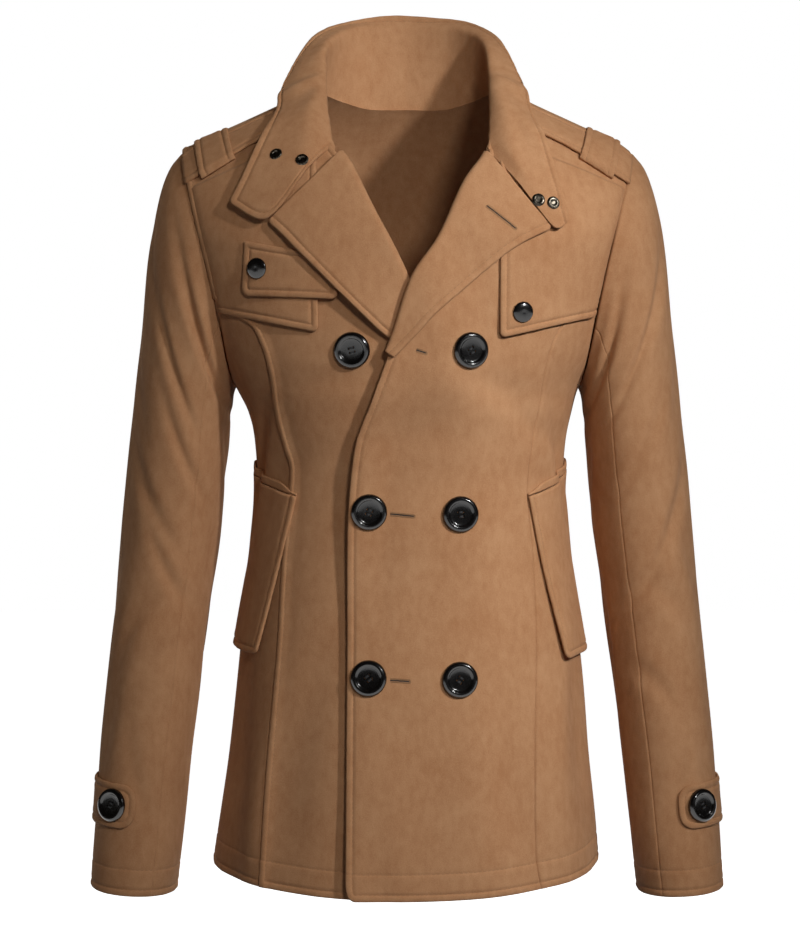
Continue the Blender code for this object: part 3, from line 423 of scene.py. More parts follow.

# %% [markdown]
# ## Creases
#
# Heavy wool doesn't crumple: it makes a few long, shallow troughs where it is pulled or pushed together.
# Each row of the table is one of them: where its middle lies, which way it runs, how long
# and wide it is, and how deep. A negative depth is a ridge. A simulation would give creases too, but not
# these ones.

# %% Creases of the body
MM_PER_TURN = 225  # round the body, near enough for placing a crease
RELIEF_ACROSS, RELIEF_DOWN = 901, 401  # a crease is 20 mm wide, so a sample every millimetre or two will do
BODY_CREASE_DEPTH = 2.4  # all the depths below are multiplied by this
BODY_FOLDS = (
    # turn, level, lean in degrees, length, width and depth of each
    # the front: drag from the buttons to the waist, and the skirt's slow waves
    (-0.72, -300, 35, 60, 11, 2.2), (-0.80, -345, 20, 50, 10, 1.6), (-0.55, -330, 60, 55, 13, 1.3),
    (0.70, -300, -35, 60, 11, 2.0), (0.80, -350, -18, 50, 10, 1.6), (0.52, -290, -62, 50, 12, 1.2),
    (-0.30, -250, 75, 45, 12, 1.0), (0.34, -255, -70, 50, 13, 1.1), (0.02, -300, 40, 60, 14, 0.9),
    (-0.40, -590, 6, 110, 20, 1.8), (-0.72, -600, -5, 120, 22, 2.4), (-0.56, -620, 3, 100, 16, -1.6),
    (0.34, -600, -6, 110, 20, 1.6), (0.55, -620, 4, 110, 18, -1.6), (0.74, -600, -4, 120, 22, 2.2),
    (0.10, -610, 3, 120, 24, 1.0), (-0.12, -600, -4, 120, 20, -1.2),
    # the back: across the shoulder blades, into the waist, and the skirt
    (1.30, -150, 55, 70, 16, 2.0), (-1.32, -155, -55, 70, 16, 2.2), (1.16, -215, 30, 60, 12, 2.0),
    (-1.18, -222, -28, 60, 12, 1.8), (1.48, -300, 70, 60, 15, 1.8), (-1.52, -310, -66, 60, 14, 1.6),
    (1.85, -330, 82, 60, 15, 1.2), (-1.80, -352, -80, 55, 14, 1.3), (1.25, -350, 25, 60, 12, 2.0),
    (-1.24, -345, -28, 60, 12, 2.2), (1.35, -590, 5, 120, 22, 2.6), (-1.38, -600, -5, 120, 22, 2.4),
    (1.68, -610, -4, 120, 24, 2.0), (-1.70, -600, 4, 120, 24, 2.2), (2.00, -610, 0, 130, 22, 2.0),
)


def creased(table, across, down):
    """Sum of a table's creases at places given in millimetres across and down the cloth."""
    total = np.zeros(np.broadcast(across, down).shape)
    for middle_across, middle_down, lean, length, width, depth in table:
        slant = math.radians(lean)
        a, d = across - middle_across, down - middle_down
        along = d * math.cos(slant) + a * math.sin(slant)
        aside = a * math.cos(slant) - d * math.sin(slant)
        bend = 0.12 * along**2 / length  # a crease is never quite straight
        trough = np.exp(-(((aside - bend) / width) ** 2))
        shoulders = 0.35 * np.exp(-(((aside - bend) / (2.2 * width)) ** 2))
        total -= depth * (trough - shoulders) * np.exp(-((along / length) ** 2))
    return total


def looked_up(field, u, v):
    """A field of values over the unit square, read between its samples."""
    rows, columns = field.shape[0] - 1, field.shape[1] - 1
    u, v = np.clip(u, 0, 1) * columns, np.clip(v, 0, 1) * rows
    i, j = np.minimum(v.astype(int), rows - 1), np.minimum(u.astype(int), columns - 1)
    down, right = v - i, u - j
    top = field[i, j] * (1 - right) + field[i, j + 1] * right
    low = field[i + 1, j] * (1 - right) + field[i + 1, j + 1] * right
    return top * (1 - down) + low * down


def body_relief():
    """All the creases at once, on a grid from turn -2 to 2 and from the hem up."""
    turn, level = np.meshgrid(np.linspace(-2, 2, RELIEF_ACROSS), np.linspace(HEM_LEVEL, 0, RELIEF_DOWN))
    total = 0
    for lap in (-4, 0, 4):  # the back's middle is turn 2 and turn -2
        table = [(row[0] * MM_PER_TURN, *row[1:]) for row in BODY_FOLDS]
        total = total + creased(table, (turn + lap) * MM_PER_TURN, level)
    angle = turn * math.pi / 2
    # Between the creases the cloth is never quite even. Waves that share no common length look unplanned.
    uneven = np.sin(3 * angle + level / 37) * np.sin(level / 53 + 2 * angle + 1) * 0.35
    uneven += np.sin(7 * angle - level / 41 + 2) * np.sin(level / 29 + 5 * angle) * 0.2
    return BODY_CREASE_DEPTH * total + uneven


def body_crease(turn, level):
    """How far the creases push the body's cloth out, in millimetres."""
    turn = np.mod(turn + 2, 4) / 4
    return looked_up(RELIEF, turn, (level - HEM_LEVEL) / -HEM_LEVEL)


RELIEF = body_relief()
print(f"creases on the body: {len(BODY_FOLDS)}, from {RELIEF.min():.1f} to {RELIEF.max():.1f} mm")

# %% The body as a function
def shoulder_z(x):
    return read_pairs(SHOULDER, np.abs(x))


def plain_body(turn, level):
    """A point of the body. turn is 0 in front, 1 at the wearer's left side, 2 behind and -1 at the right.

    level is the height, except that from SHOULDER_START to 0 it climbs to the shoulder seam.
    """
    turn, level = np.broadcast_arrays(np.asarray(turn, float), np.asarray(level, float))
    half = through(BODY, BODY_COLUMNS, "level", "half_width", level)
    shift = through(BODY, BODY_COLUMNS, "level", "shift", level)
    front = through(BODY, BODY_COLUMNS, "level", "front", level)
    back = through(BODY, BODY_COLUMNS, "level", "back", level)
    angle = turn * math.pi / 2
    sine, cosine = np.sin(angle), np.cos(angle)
    reach = (np.abs(sine) ** BODY_ROUND + np.abs(cosine) ** BODY_ROUND) ** (1 / BODY_ROUND)
    x = shift + half * sine / reach
    y = -np.where(cosine >= 0, front, back) * cosine / reach
    climb = np.clip(1 - level / SHOULDER_START, 0, 1) * math.pi / 2
    lean = np.cos(climb) ** (2 / SHOULDER_ROUND)
    lift = np.sin(climb) ** (2 / SHOULDER_ROUND)
    y = np.where(climb > 0, SHOULDER_Y + (y - SHOULDER_Y) * lean, y)
    low = level + HEM_RISE * sine**2 * ease(level, HEM_RISE_FROM, HEM_LEVEL)
    z = np.where(climb > 0, SHOULDER_START + (shoulder_z(x) - SHOULDER_START) * lift, low)
    return np.stack([x, y, z], axis=-1)


def body_normal(turn, level):
    round_it = plain_body(turn + 0.004, level) - plain_body(turn - 0.004, level)
    level = np.minimum(level, -0.6)
    up = plain_body(turn, level + 0.5) - plain_body(turn, level - 0.5)
    return unit(np.cross(round_it, up))


def body(turn, level, out=0.0):
    """A point `out` outside the body's creased cloth."""
    turn, level = np.broadcast_arrays(np.asarray(turn, float), np.asarray(level, float))
    away = body_crease(turn, level) + out
    return plain_body(turn, level) + body_normal(turn, level) * away[..., None]


print("the hem's front, x y z:", plain_body(0, HEM_LEVEL).round(1))

# %% From the front view to the body
def level_at(x, z):
    """The level of the point that lies at x and z in the front view."""
    share = np.clip((z - SHOULDER_START) / (shoulder_z(x) - SHOULDER_START), 0, 1)
    climb = np.arcsin(share ** (SHOULDER_ROUND / 2))
    return np.where(z > SHOULDER_START, SHOULDER_START * (1 - climb / (math.pi / 2)), z)


def turn_at(x, level):
    """The turn on the front of the body where a level reaches x."""
    half = through(BODY, BODY_COLUMNS, "level", "half_width", level)
    shift = through(BODY, BODY_COLUMNS, "level", "shift", level)
    share = np.clip((x - shift) / half, -1, 1)
    other = (1 - np.abs(share) ** BODY_ROUND) ** (1 / BODY_ROUND)
    return np.arctan2(share, other) * 2 / math.pi


def facing(x, z):
    """turn and level of the front's point that the front view shows at x and z."""
    x, z = np.broadcast_arrays(np.asarray(x, float), np.asarray(z, float))
    level = level_at(x, z)
    return turn_at(x, level), level


def edge_turn(x_of_z, level):
    """The turn where a level meets a line given as x by z."""
    level = np.asarray(level, float)
    x = x_of_z(level)
    for _ in range(EDGE_STEPS_TO_MEET):
        turn = turn_at(x, level)
        x = x_of_z(plain_body(turn, level)[..., 2])
    return turn_at(x, level)


def armhole_x(z):
    top, bottom = ARMHOLE_TOP, ARMHOLE_BOTTOM
    share = np.clip((top[1] - np.asarray(z, float)) / (top[1] - bottom[1]), 0, 1)
    return top[0] + (bottom[0] - top[0]) * share - ARMHOLE_BOW * np.sin(math.pi * share) ** 2


def armhole_z(angle):
    """Height of the armhole's edge, by its angle in degrees from the shoulder."""
    top, bottom = ARMHOLE_TOP[1], ARMHOLE_BOTTOM[1]
    return (top + bottom) / 2 + (top - bottom) / 2 * np.cos(np.radians(angle))


def edge_of(table):
    return lambda z: read_pairs(table, z)


def armhole_of(side):
    return lambda z: side * armhole_x(z)


def princess_of(table, side):
    """A princess seam's edge. It never runs past the armhole, which it meets at its top."""
    return lambda z: side * np.minimum(read_pairs(table, z), armhole_x(z) - PRINCESS_STOP)


girth = np.linalg.norm(np.diff(plain_body(np.linspace(-2, 2, 201), HEM_LEVEL), axis=0), axis=-1).sum()
print("round the hem:", round(girth), "mm")

# %% [markdown]
# ## How a piece of cloth is made
#
# Every piece is a closed wall between two grids of points. The grid knows how far each point is from the
# piece's four sides, measured along the cloth, and from that comes what a sewing machine does to it: a
# turned edge is rounded and has a line of stitching pressed in beside it, a seam dips into a groove, a hem
# has a second line further up. Grid lines crowd together at the edges, where the form changes quickly, and
# spread out between.

# %% Edge shapes
STITCH_INSET = 6.0  # edge stitching lies this far in
HEM_INSET = 24.0
STITCH_WIDTH, STITCH_DEPTH = 0.95, 0.8  # the groove that the stitching pulls into the cloth
HEM_STITCH_WIDTH, HEM_STITCH_DEPTH = 0.85, 0.55
SEAM_WIDTH, SEAM_DEPTH = 1.15, 1.5
PRESSED_WIDTH, PRESSED_DEPTH = 0.9, 0.4
PUFFS = ((3.0, 2.0, 0.4), (9.6, 2.6, 0.2))  # cloth stands proud beside stitching: inset, width, height
LAPPED_RISE = 2.2  # a lapped edge lies this far out, on its neighbour
LAPPED_FROM, LAPPED_FULL = 9.5, 5
SEWN_EDGES = ("free", "hem", "lapped")  # these have a line of stitching

# Where the grid's lines lie beside each kind of edge, in from it.
FREE_STEPS = (0, 0.12, 0.45, 1.0, 1.8, 3.2, 4.6, 5.4, 6.0, 6.6, 7.6, 9.6)
EDGE_STEPS = {
    "free": FREE_STEPS,  # turned and stitched
    "hem": FREE_STEPS + (14, 18.5, 21.8, 23.2, 24.0, 24.8, 26.4),  # and sewn up again above
    "turned": (0, 0.12, 0.45, 1.0, 1.8, 3.2),  # turned, with no stitching
    "lapped": FREE_STEPS,  # laid over its neighbour and stitched down
    "seam": (0, 0.5, 1.1, 1.8, 2.8, 4.4),
    "pressed": (0, 0.4, 0.9, 1.6, 2.6),  # a seam ironed flat
    "join": (0, 3.0),
}


def groove(distance, centre, width, depth):
    return depth * np.exp(-(((distance - centre) / width) ** 2))


def edge_drop(edges, away, thick):
    """How far the outer face sinks and the inner face rises near the edges. away: distances by side."""
    turned = [away[side] for side in edges if edges[side] in (*SEWN_EDGES, "turned")]
    sewn = [away[side] for side in edges if edges[side] in SEWN_EDGES]
    outer, inner = 0, 0
    if turned:
        radius = thick / 2
        near = np.clip(np.minimum.reduce(turned), 0, radius)
        curl = (radius - np.sqrt(np.maximum(radius**2 - (radius - near) ** 2, 0))) * 0.94
        outer, inner = outer + curl, inner + curl
    if sewn:
        near = np.minimum.reduce(sewn)
        puff = sum(groove(near, *row) for row in PUFFS)
        outer = outer + groove(near, STITCH_INSET, STITCH_WIDTH, STITCH_DEPTH) - puff
    for side, kind in edges.items():
        if kind == "pressed":
            outer = outer + groove(away[side], 0, PRESSED_WIDTH, PRESSED_DEPTH)
        if kind == "lapped":
            outer = outer - LAPPED_RISE * ease(away[side], LAPPED_FROM, LAPPED_FULL)
        if kind == "seam":
            ridge = groove(away[side], 3.6, 2.2, 0.3)
            outer = outer + groove(away[side], 0, SEAM_WIDTH, SEAM_DEPTH) - ridge
        if kind == "hem":
            line = groove(away[side], HEM_INSET, HEM_STITCH_WIDTH, HEM_STITCH_DEPTH)
            outer = outer + line - groove(away[side], HEM_INSET - 4, 3.2, 0.2)
    return outer, inner


print("kinds of edge:", ", ".join(EDGE_STEPS))

# %% Grid lines across a piece
def grid_lines(start, end, length, step):
    """Places of the grid's lines, each as a part of the length plus some millimetres."""
    near, far = np.array(EDGE_STEPS[start]), np.array(EDGE_STEPS[end])
    count = max(int((length - near[-1] - far[-1]) / step), 1)
    part = np.linspace(0, 1, count + 1)[1:-1]
    whole = np.concatenate([0 * near, part, 1 + 0 * far])
    fixed = np.concatenate([near, near[-1] * (1 - part) - far[-1] * part, -far[::-1]])
    return whole, fixed, near[-1] + far[-1] + 2


print("lines across a stitched strip 100 mm wide:", len(grid_lines("free", "free", 100, 4.6)[0]))

# %% A patch of cloth
FIELD = 73  # places along each side where a piece is measured
SEARCH_STEPS = 12
SEARCH_PACE = 0.9  # a little less than a full step, so that the search settles
SLOWEST = 0.2  # where a piece is squeezed to a point, steps are taken as if it were this wide
REACH = 0.003  # a direction on the cloth is read between shares this far apart
WAVER = 9  # a sewn edge wavers a little, less and less up to about this far in


class Patch:
    """A piece of cloth. surface(u, v) gives its outer face for shares across (left to right) and down."""

    def __init__(self, surface, edges, thick=CLOTH, step=4.6, corners=(), outward=1):
        self.surface, self.edges, self.thick, self.corners = surface, edges, thick, corners
        self.outward = outward
        share = np.linspace(0, 1, FIELD)
        points = surface(*np.meshgrid(share, share))
        across = np.linalg.norm(np.diff(points, axis=1), axis=-1)
        down = np.linalg.norm(np.diff(points, axis=0), axis=-1)
        self.across = np.pad(np.cumsum(across, axis=1), ((0, 0), (1, 0)))
        self.down = np.pad(np.cumsum(down, axis=0), ((1, 0), (0, 0)))
        self.speed_across = np.gradient(self.across, axis=1) * (FIELD - 1)
        self.speed_down = np.gradient(self.down, axis=0) * (FIELD - 1)
        self.size = float(self.across[:, -1].max()), float(self.down[-1].max())
        self.columns = grid_lines(edges["left"], edges["right"], self.size[0], step)
        self.rows = grid_lines(edges["top"], edges["bottom"], self.size[1], step)

    def place(self, whole_u, fixed_u, whole_v, fixed_v):
        """Shares for places given as parts of the lengths plus millimetres, and their distances by side."""
        u, v = np.broadcast_arrays(whole_u * 1.0, whole_v * 1.0)
        for _ in range(SEARCH_STEPS):
            wide = np.maximum(looked_up(self.across, 1 + 0 * u, v), 0.01)
            tall = np.maximum(looked_up(self.down, u, 1 + 0 * v), 0.01)
            left = whole_u * wide + fixed_u * np.minimum(1, wide / self.columns[2])
            top = whole_v * tall + fixed_v * np.minimum(1, tall / self.rows[2])
            away = {"left": left, "right": wide - left, "top": top, "bottom": tall - top}
            goal_u, goal_v = left, top
            for side, end, radius in self.corners:
                a, b = radius - away[side], radius - away[end]
                inside = (a > 0) & (b > 0)
                scale = np.where(inside, np.maximum(a, b) / np.maximum(np.hypot(a, b), 1e-6), 1)
                move_u, move_v = a - a * scale, b - b * scale
                goal_u = goal_u + np.where(inside, move_u if side == "left" else -move_u, 0)
                goal_v = goal_v + np.where(inside, move_v if end == "top" else -move_v, 0)
            speed = np.maximum(looked_up(self.speed_across, u, v), wide * SLOWEST)
            u = np.clip(u + SEARCH_PACE * (goal_u - looked_up(self.across, u, v)) / speed, 0, 1)
            speed = np.maximum(looked_up(self.speed_down, u, v), tall * SLOWEST)
            v = np.clip(v + SEARCH_PACE * (goal_v - looked_up(self.down, u, v)) / speed, 0, 1)
        return u, v, away

    def faces(self, u, v, away):
        """Points of the outer and the inner face, and the outward direction between them."""
        side_u = np.clip([u - REACH, u + REACH], 0, 1)
        side_v = np.clip([v - REACH, v + REACH], 0, 1)
        across = self.surface(side_u[1], v) - self.surface(side_u[0], v)
        down = self.surface(u, side_v[1]) - self.surface(u, side_v[0])
        normal = unit(np.cross(down, across)) * self.outward
        sink, rise = edge_drop(self.edges, away, self.thick)
        base = self.surface(u, v)
        wobble = 0.13 * np.sin(base @ (0.31, 0.27, 0.36)) + 0.1 * np.sin(base @ (-0.17, 0.41, 0.53))
        sewn = [away[side] for side in self.edges if self.edges[side] in SEWN_EDGES]
        near = np.exp(-((np.minimum.reduce(sewn) / WAVER) ** 2)) if sewn else 0.2
        outer = base + normal * (wobble * near - sink)[..., None]
        inner = base + normal * (rise - self.thick + 0 * u)[..., None]
        return outer, inner, normal

    def grid(self):
        column, row = self.columns, self.rows
        return self.faces(*self.place(column[0][None], column[1][None], row[0][:, None], row[1][:, None]))

    def line(self, start, end, spacing=1.2):
        """Points along a straight run on the cloth. Each end: (part, mm) across and (part, mm) down."""
        start, end = np.array(start, float), np.array(end, float)
        length = max(self.size)
        share = np.linspace(0, 1, int(length / spacing))[:, None, None]
        at = start * (1 - share) + end * share
        outer, _, normal = self.faces(*self.place(at[:, 0, 0], at[:, 0, 1], at[:, 1, 0], at[:, 1, 1]))
        return outer, normal


print("each piece is measured at", FIELD, "x", FIELD, "places")

# %% From two grids to a closed wall
def closed_wall(name, outer, inner, finish):
    """A mesh from two grids of points, joined round their borders."""
    rows, columns = outer.shape[:2]
    index = np.arange(rows * columns).reshape(rows, columns)
    quads = np.stack([index[:-1, :-1], index[:-1, 1:], index[1:, 1:], index[1:, :-1]], -1).reshape(-1, 4)
    border = np.concatenate([index[0, :-1], index[:-1, -1], index[-1, :0:-1], index[:0:-1, 0]])
    following = np.roll(border, -1)
    total = rows * columns
    strip = np.stack([border, border + total, following + total, following], -1)
    every = np.concatenate([quads, quads[:, ::-1] + total, strip])
    mesh = bpy.data.meshes.new(name)
    points = np.concatenate([outer.reshape(-1, 3), inner.reshape(-1, 3)]) * MM
    mesh.from_pydata(points.tolist(), [], every.tolist())
    made = bmesh.new()
    made.from_mesh(mesh)
    bmesh.ops.remove_doubles(made, verts=made.verts[:], dist=1e-6)
    bmesh.ops.recalc_face_normals(made, faces=made.faces[:])
    made.to_mesh(mesh)
    made.free()
    mesh.shade_smooth()
    mesh.materials.append(finish)
    obj = bpy.data.objects.new(name, mesh)
    bpy.context.scene.collection.objects.link(obj)
    return obj


def area_of(outer):
    """Area of a grid's face, in square metres."""
    across, down = np.diff(outer, axis=1)[:-1], np.diff(outer, axis=0)[:, :-1]
    return float(np.linalg.norm(np.cross(across, down), axis=-1).sum()) * MM * MM


square = np.array((((0, 0, 0), (100, 0, 0)), ((0, 0, -100), (100, 0, -100))))
print("a flat sheet 100 mm square:", round(area_of(square), 4), "square metres")

# %% Making and recording a piece
PIECES = {}  # every patch by its name, for its stitching
SMALLEST_CUT = 10.2  # a narrower strip is cut this wide, and the rest of it is sewn in


def cloth(name, patch, held, rests_on=()):
    """Makes a piece of cloth, puts it in the place of its solid and says what sheet it was cut from."""
    outer, inner, _ = patch.grid()
    obj = closed_wall(name + "_cloth", outer, inner, WOOL)
    wide, tall = patch.size
    area = min(area_of(outer), 0.999 * wide * tall * MM * MM)
    cut = (max(wide, SMALLEST_CUT) * MM, max(tall, SMALLEST_CUT) * MM)
    PIECES[name] = {
        "patch": patch, "object": obj, "flat": cut, "area": area, "held": held, "rests_on": rests_on,
    }
    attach(obj, "root")
    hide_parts(name)
    print(f"{name}: cut {wide:.0f} x {tall:.0f} mm, {len(obj.data.polygons)} faces")


print("the narrowest cut is", SMALLEST_CUT, "mm")

# %% [markdown]
# ## The body panels
#
# A coat's body is cut in vertical panels so that its seams can take it in at the waist. Rows of the grid
# are at the same heights in all panels: even steps up to the armhole, and from there even angles round the
# armhole.

# %% Levels and edges of the panels
MEETING = 105  # the princess seams run into the armholes at this angle, in degrees from the shoulder
TOP_LEVEL = -0.3


def level_up(rise):
    """Level for a rise from 0 at the hem to 1 under the arm and 2 on the shoulder seam."""
    rise = np.asarray(rise, float)
    low = HEM_LEVEL + (ARMHOLE_BOTTOM[1] - HEM_LEVEL) * np.clip(rise, 0, 1)
    z = armhole_z(180 * (2 - np.clip(rise, 1, 2)))
    high = np.minimum(level_at(armhole_x(z), z), TOP_LEVEL)
    return np.where(rise > 1, high, low)


RISES = np.concatenate([np.linspace(0, 1, 91)[:-1], np.linspace(1, 2, 91)])
MEETING_RISE = 2 - MEETING / 180


def read_from(values):
    return lambda rise: np.interp(rise, RISES, values)


# The overlap lies further out on the chest than below, and comes down again past the edge beneath.
OVERLAP_START, OVERLAP_FADE = 8, 62
OVERLAP_OUT, CHEST_OUT = 3.2, 5.7
CHEST_OUT_FROM, CHEST_OUT_FULL = -305, -235
EDGE_BAND, PAST_EDGE = 34, 4
# How far the edge stands off, as pairs of z and millimetres.
STAND_OFF = (
    (-215, 0), (-260, 5.5), (-330, 9), (-400, 7), (-500, 3.4), (-600, 4), (-680, 7.5), (-704, 8.5),
)


def lap_out(x, z):
    """How far the overlapping front lies outside the body's form. Its edge stands off a little more."""
    beneath = edge_of(UNDER_EDGE)(z) + OVERLAP_START
    across = 1 - ease(x, beneath, beneath + OVERLAP_FADE)
    edge = ease(x, edge_of(OVER_EDGE)(z) + EDGE_BAND, edge_of(OVER_EDGE)(z) - PAST_EDGE)
    out = OVERLAP_OUT + CHEST_OUT * ease(z, CHEST_OUT_FROM, CHEST_OUT_FULL)
    return across * out + edge * read_pairs(STAND_OFF, z)


ALL_LEVELS = level_up(RISES)
UNDER_TURN = read_from(edge_turn(edge_of(UNDER_EDGE), ALL_LEVELS))
OVER_TURN = read_from(edge_turn(edge_of(OVER_EDGE), ALL_LEVELS))
ARM_TURN = read_from(edge_turn(armhole_of(1), ALL_LEVELS))
PRINCESS_TURN = {
    -1: read_from(edge_turn(princess_of(RIGHT_PRINCESS, -1), ALL_LEVELS)),
    1: read_from(edge_turn(princess_of(LEFT_PRINCESS, 1), ALL_LEVELS)),
}
print("fronts' edges at the hem: turns", [round(float(turn(0)), 3) for turn in (UNDER_TURN, OVER_TURN)])

# %% Front and side panels
def front_centre(side):
    front = UNDER_TURN if side < 0 else OVER_TURN

    def surface(u, v):
        rise = 2 * (1 - v)
        level = level_up(rise)
        outer = np.where(rise > MEETING_RISE, side * ARM_TURN(rise), PRINCESS_TURN[side](rise))
        turn = front(rise) + (outer - front(rise)) * u
        plain = plain_body(turn, level)
        out = lap_out(plain[..., 0], plain[..., 2]) if side > 0 else 0 * u
        return body(turn, level, out)

    return surface


def front_side(side):
    def surface(u, v):
        rise = MEETING_RISE * (1 - v)
        start = PRINCESS_TURN[side](rise)
        end = np.where(rise > 1, side * ARM_TURN(rise), side)
        return body(start + (end - start) * u, level_up(rise))

    return surface


def back_level(share, level):
    """The back is drawn down between the shoulders to its neck."""
    x = np.abs(share) * ARMHOLE_TOP[0]
    top = np.where(x < BACK_NECK_HALF, read_pairs(BACK_NECK, x), TOP_LEVEL)
    squeeze = (top - SHOULDER_START) / (TOP_LEVEL - SHOULDER_START)
    return np.where(level > SHOULDER_START, SHOULDER_START + (level - SHOULDER_START) * squeeze, level)


def back_panel(u, v):
    rise = 2 * (1 - v)
    share = 2 * u - 1
    side = np.where(rise > 1, ARM_TURN(rise), 1)
    return body(2 - side * share, back_level(share, level_up(rise)))


FRONT_EDGES = {"left": "free", "right": "pressed", "top": "seam", "bottom": "hem"}
SIDE_EDGES = {"left": "seam", "right": "seam", "top": "seam", "bottom": "hem"}
for side, hand in ((-1, "right"), (1, "left")):
    edges = FRONT_EDGES | ({"right": "lapped"} if side < 0 else {})
    patch = Patch(front_centre(side), edges, outward=side, corners=(("left", "bottom", 5),))
    cloth(f"front_centre_{hand}", patch, "hung")
    cloth(f"front_side_{hand}", Patch(front_side(side), SIDE_EDGES, outward=side), "hung")
cloth("back", Patch(back_panel, SIDE_EDGES, outward=-1, step=5.2), "hung")

# %% [markdown]
# ## Sleeves
#
# A coat sleeve is cut in two: a wide top sleeve and a narrow under sleeve, joined by one seam towards the
# front and one behind. The tube starts on the armhole itself and becomes a plain oval tube a hand below it,
# and it bends forward a little at the elbow, where most of its creases are.

# %% Tables of the sleeves
SLEEVE_COLUMNS = ("row", "outer_x", "outer_z", "inner_x", "inner_z", "half_depth", "middle_y")
SLEEVE = (
    (0, 205, -41, 157.3, -255, 70, 0), (1, 216, -54, 158.8, -257, 71, 0),
    (2, 224, -74, 159.8, -262, 72, 0), (3, 231, -103, 160.8, -269, 72, 1),
    (4, 236.5, -138, 162, -278, 71, 2), (5, 241, -175, 163.5, -292, 70, 3),
    (6, 245, -215, 165.5, -315, 68.5, 4), (7, 249, -258, 168, -345, 67, 4),
    (8, 254, -305, 171.5, -380, 65, 4), (9, 259, -355, 176, -418, 63, 3),
    (10, 264.5, -410, 181, -455, 61, 0), (11, 270, -468, 186.5, -498, 59, -6),
    (12, 275.5, -528, 192, -545, 57, -13), (13, 281, -588, 198, -595, 55, -21),
    (14, 284.5, -640, 203, -645, 53, -28), (15, 287, -680, 207, -684, 52, -33),
    (16, 289, -709, 210.5, -714, 51.5, -36),
)
SLEEVE_ROUND = 2.15
SLEEVE_ROWS = 16
FRONT_SEAM = 120  # degrees round the sleeve from its outer line, by the front
BACK_SEAM = 255

SLEEVE_CREASE_DEPTH = 1.9  # all the depths below are multiplied by this
SLEEVE_FOLDS = (
    # angle, row, lean in degrees, length, width and depth of each
    # outside and front of the upper arm, the elbow, and the forearm
    (40, 4.2, 30, 46, 11, 2.0), (112, 3.1, 44, 74, 17, 4.2), (75, 5.2, 48, 50, 10, 2.3),
    (20, 6.6, 22, 46, 12, 1.6), (95, 7.4, 60, 42, 10, 2.2), (60, 8.8, 52, 46, 11, 2.0),
    (100, 9.7, 66, 40, 9, 2.4), (70, 10.6, -52, 42, 10, 1.9), (30, 10.2, -30, 46, 13, 1.4),
    (95, 11.6, -62, 38, 9, 1.8), (45, 12.4, -20, 46, 13, 1.3), (80, 13.2, 30, 40, 11, 1.2),
    (10, 8.4, 8, 60, 15, -1.2),
    # behind the arm
    (-50, 4.6, -34, 50, 12, 2.2), (-80, 6.4, -52, 46, 11, 2.0), (-35, 7.8, -20, 46, 13, 1.6),
    (-95, 8.8, -62, 42, 10, 2.2), (-60, 9.9, 48, 44, 11, 1.9), (-100, 11.0, 60, 40, 10, 1.8),
    (-40, 12.2, 24, 46, 13, 1.4),
    # against the body
    (165, 6.2, 20, 46, 12, 1.8), (200, 8.4, -24, 46, 12, 1.8), (180, 11.0, 14, 50, 13, 1.6),
)
MM_PER_DEGREE = 1.15
MM_PER_ROW = 41.0
SLEEVE_ACROSS, SLEEVE_DOWN = 541, 401
print("creases on each sleeve:", len(SLEEVE_FOLDS))

# %% The sleeves' creases on a grid
def sleeve_relief(side):
    """A sleeve's creases on a grid. The right one's are the left one's, moved so that they don't match."""
    degrees, rows = np.linspace(-180, 180, SLEEVE_ACROSS), np.linspace(0, SLEEVE_ROWS, SLEEVE_DOWN)
    angle, row = np.meshgrid(degrees, rows)
    total = 0
    for turned_by in (-360, 0, 360):
        table = [
            (
                (a + 9 * math.sin(7 * i + side)) * MM_PER_DEGREE,
                (r + 0.22 * math.sin(5 * i + 2 * side)) * MM_PER_ROW,
                lean + 6 * math.sin(3 * i + side), length, width,
                depth * (1 + 0.22 * math.sin(4 * i + side)),
            )
            for i, (a, r, lean, length, width, depth) in enumerate(SLEEVE_FOLDS)
        ]
        total = total + creased(table, (angle + turned_by) * MM_PER_DEGREE, row * MM_PER_ROW)
    round_it = np.radians(angle)
    uneven = np.sin(2 * round_it + row * 0.9 + side) * np.sin(row * 1.4 + round_it) * 0.4
    return (SLEEVE_CREASE_DEPTH * total + uneven) * ease(row, 0.6, 2.4)


SLEEVE_RELIEF = {side: sleeve_relief(side) for side in (-1, 1)}


def sleeve_crease(angle, row, side):
    return looked_up(SLEEVE_RELIEF[side], np.mod(angle + 180, 360) / 360, row / SLEEVE_ROWS)


print("deepest on each sleeve:", [round(float(relief.min()), 1) for relief in SLEEVE_RELIEF.values()], "mm")

# %% The sleeve as a function
def armhole(angle, side):
    """A point of the armhole: 0 degrees on the shoulder, 90 at the front, 180 under the arm."""
    z = armhole_z(angle)
    x = armhole_x(z)
    level = level_at(x, z)
    turn = turn_at(x, level)
    turn = np.where(np.sin(np.radians(angle)) >= 0, turn, 2 - turn)
    return body(side * turn, np.minimum(level, TOP_LEVEL))


def sleeve_tube(angle, row, side):
    def of(name):
        return through(SLEEVE, SLEEVE_COLUMNS, "row", name, row)

    cosine, sine = np.cos(np.radians(angle)), np.sin(np.radians(angle))
    reach = (np.abs(sine) ** SLEEVE_ROUND + np.abs(cosine) ** SLEEVE_ROUND) ** (1 / SLEEVE_ROUND)
    across, ahead = cosine / reach, sine / reach
    x = (of("outer_x") + of("inner_x")) / 2 + (of("outer_x") - of("inner_x")) / 2 * across
    z = (of("outer_z") + of("inner_z")) / 2 + (of("outer_z") - of("inner_z")) / 2 * across
    return np.stack([side * x, of("middle_y") - of("half_depth") * ahead, z], axis=-1)


TUCK_IN, TUCK_FORWARD = 3.6, 2.2


def tucked_in(angle, side):
    """How the sleeve's seam allowance lies in under the back panel."""
    behind = ease(-np.sin(np.radians(angle)), 0.02, 0.3)
    return behind[..., None] * np.array([-side * TUCK_IN, -TUCK_FORWARD, 0])


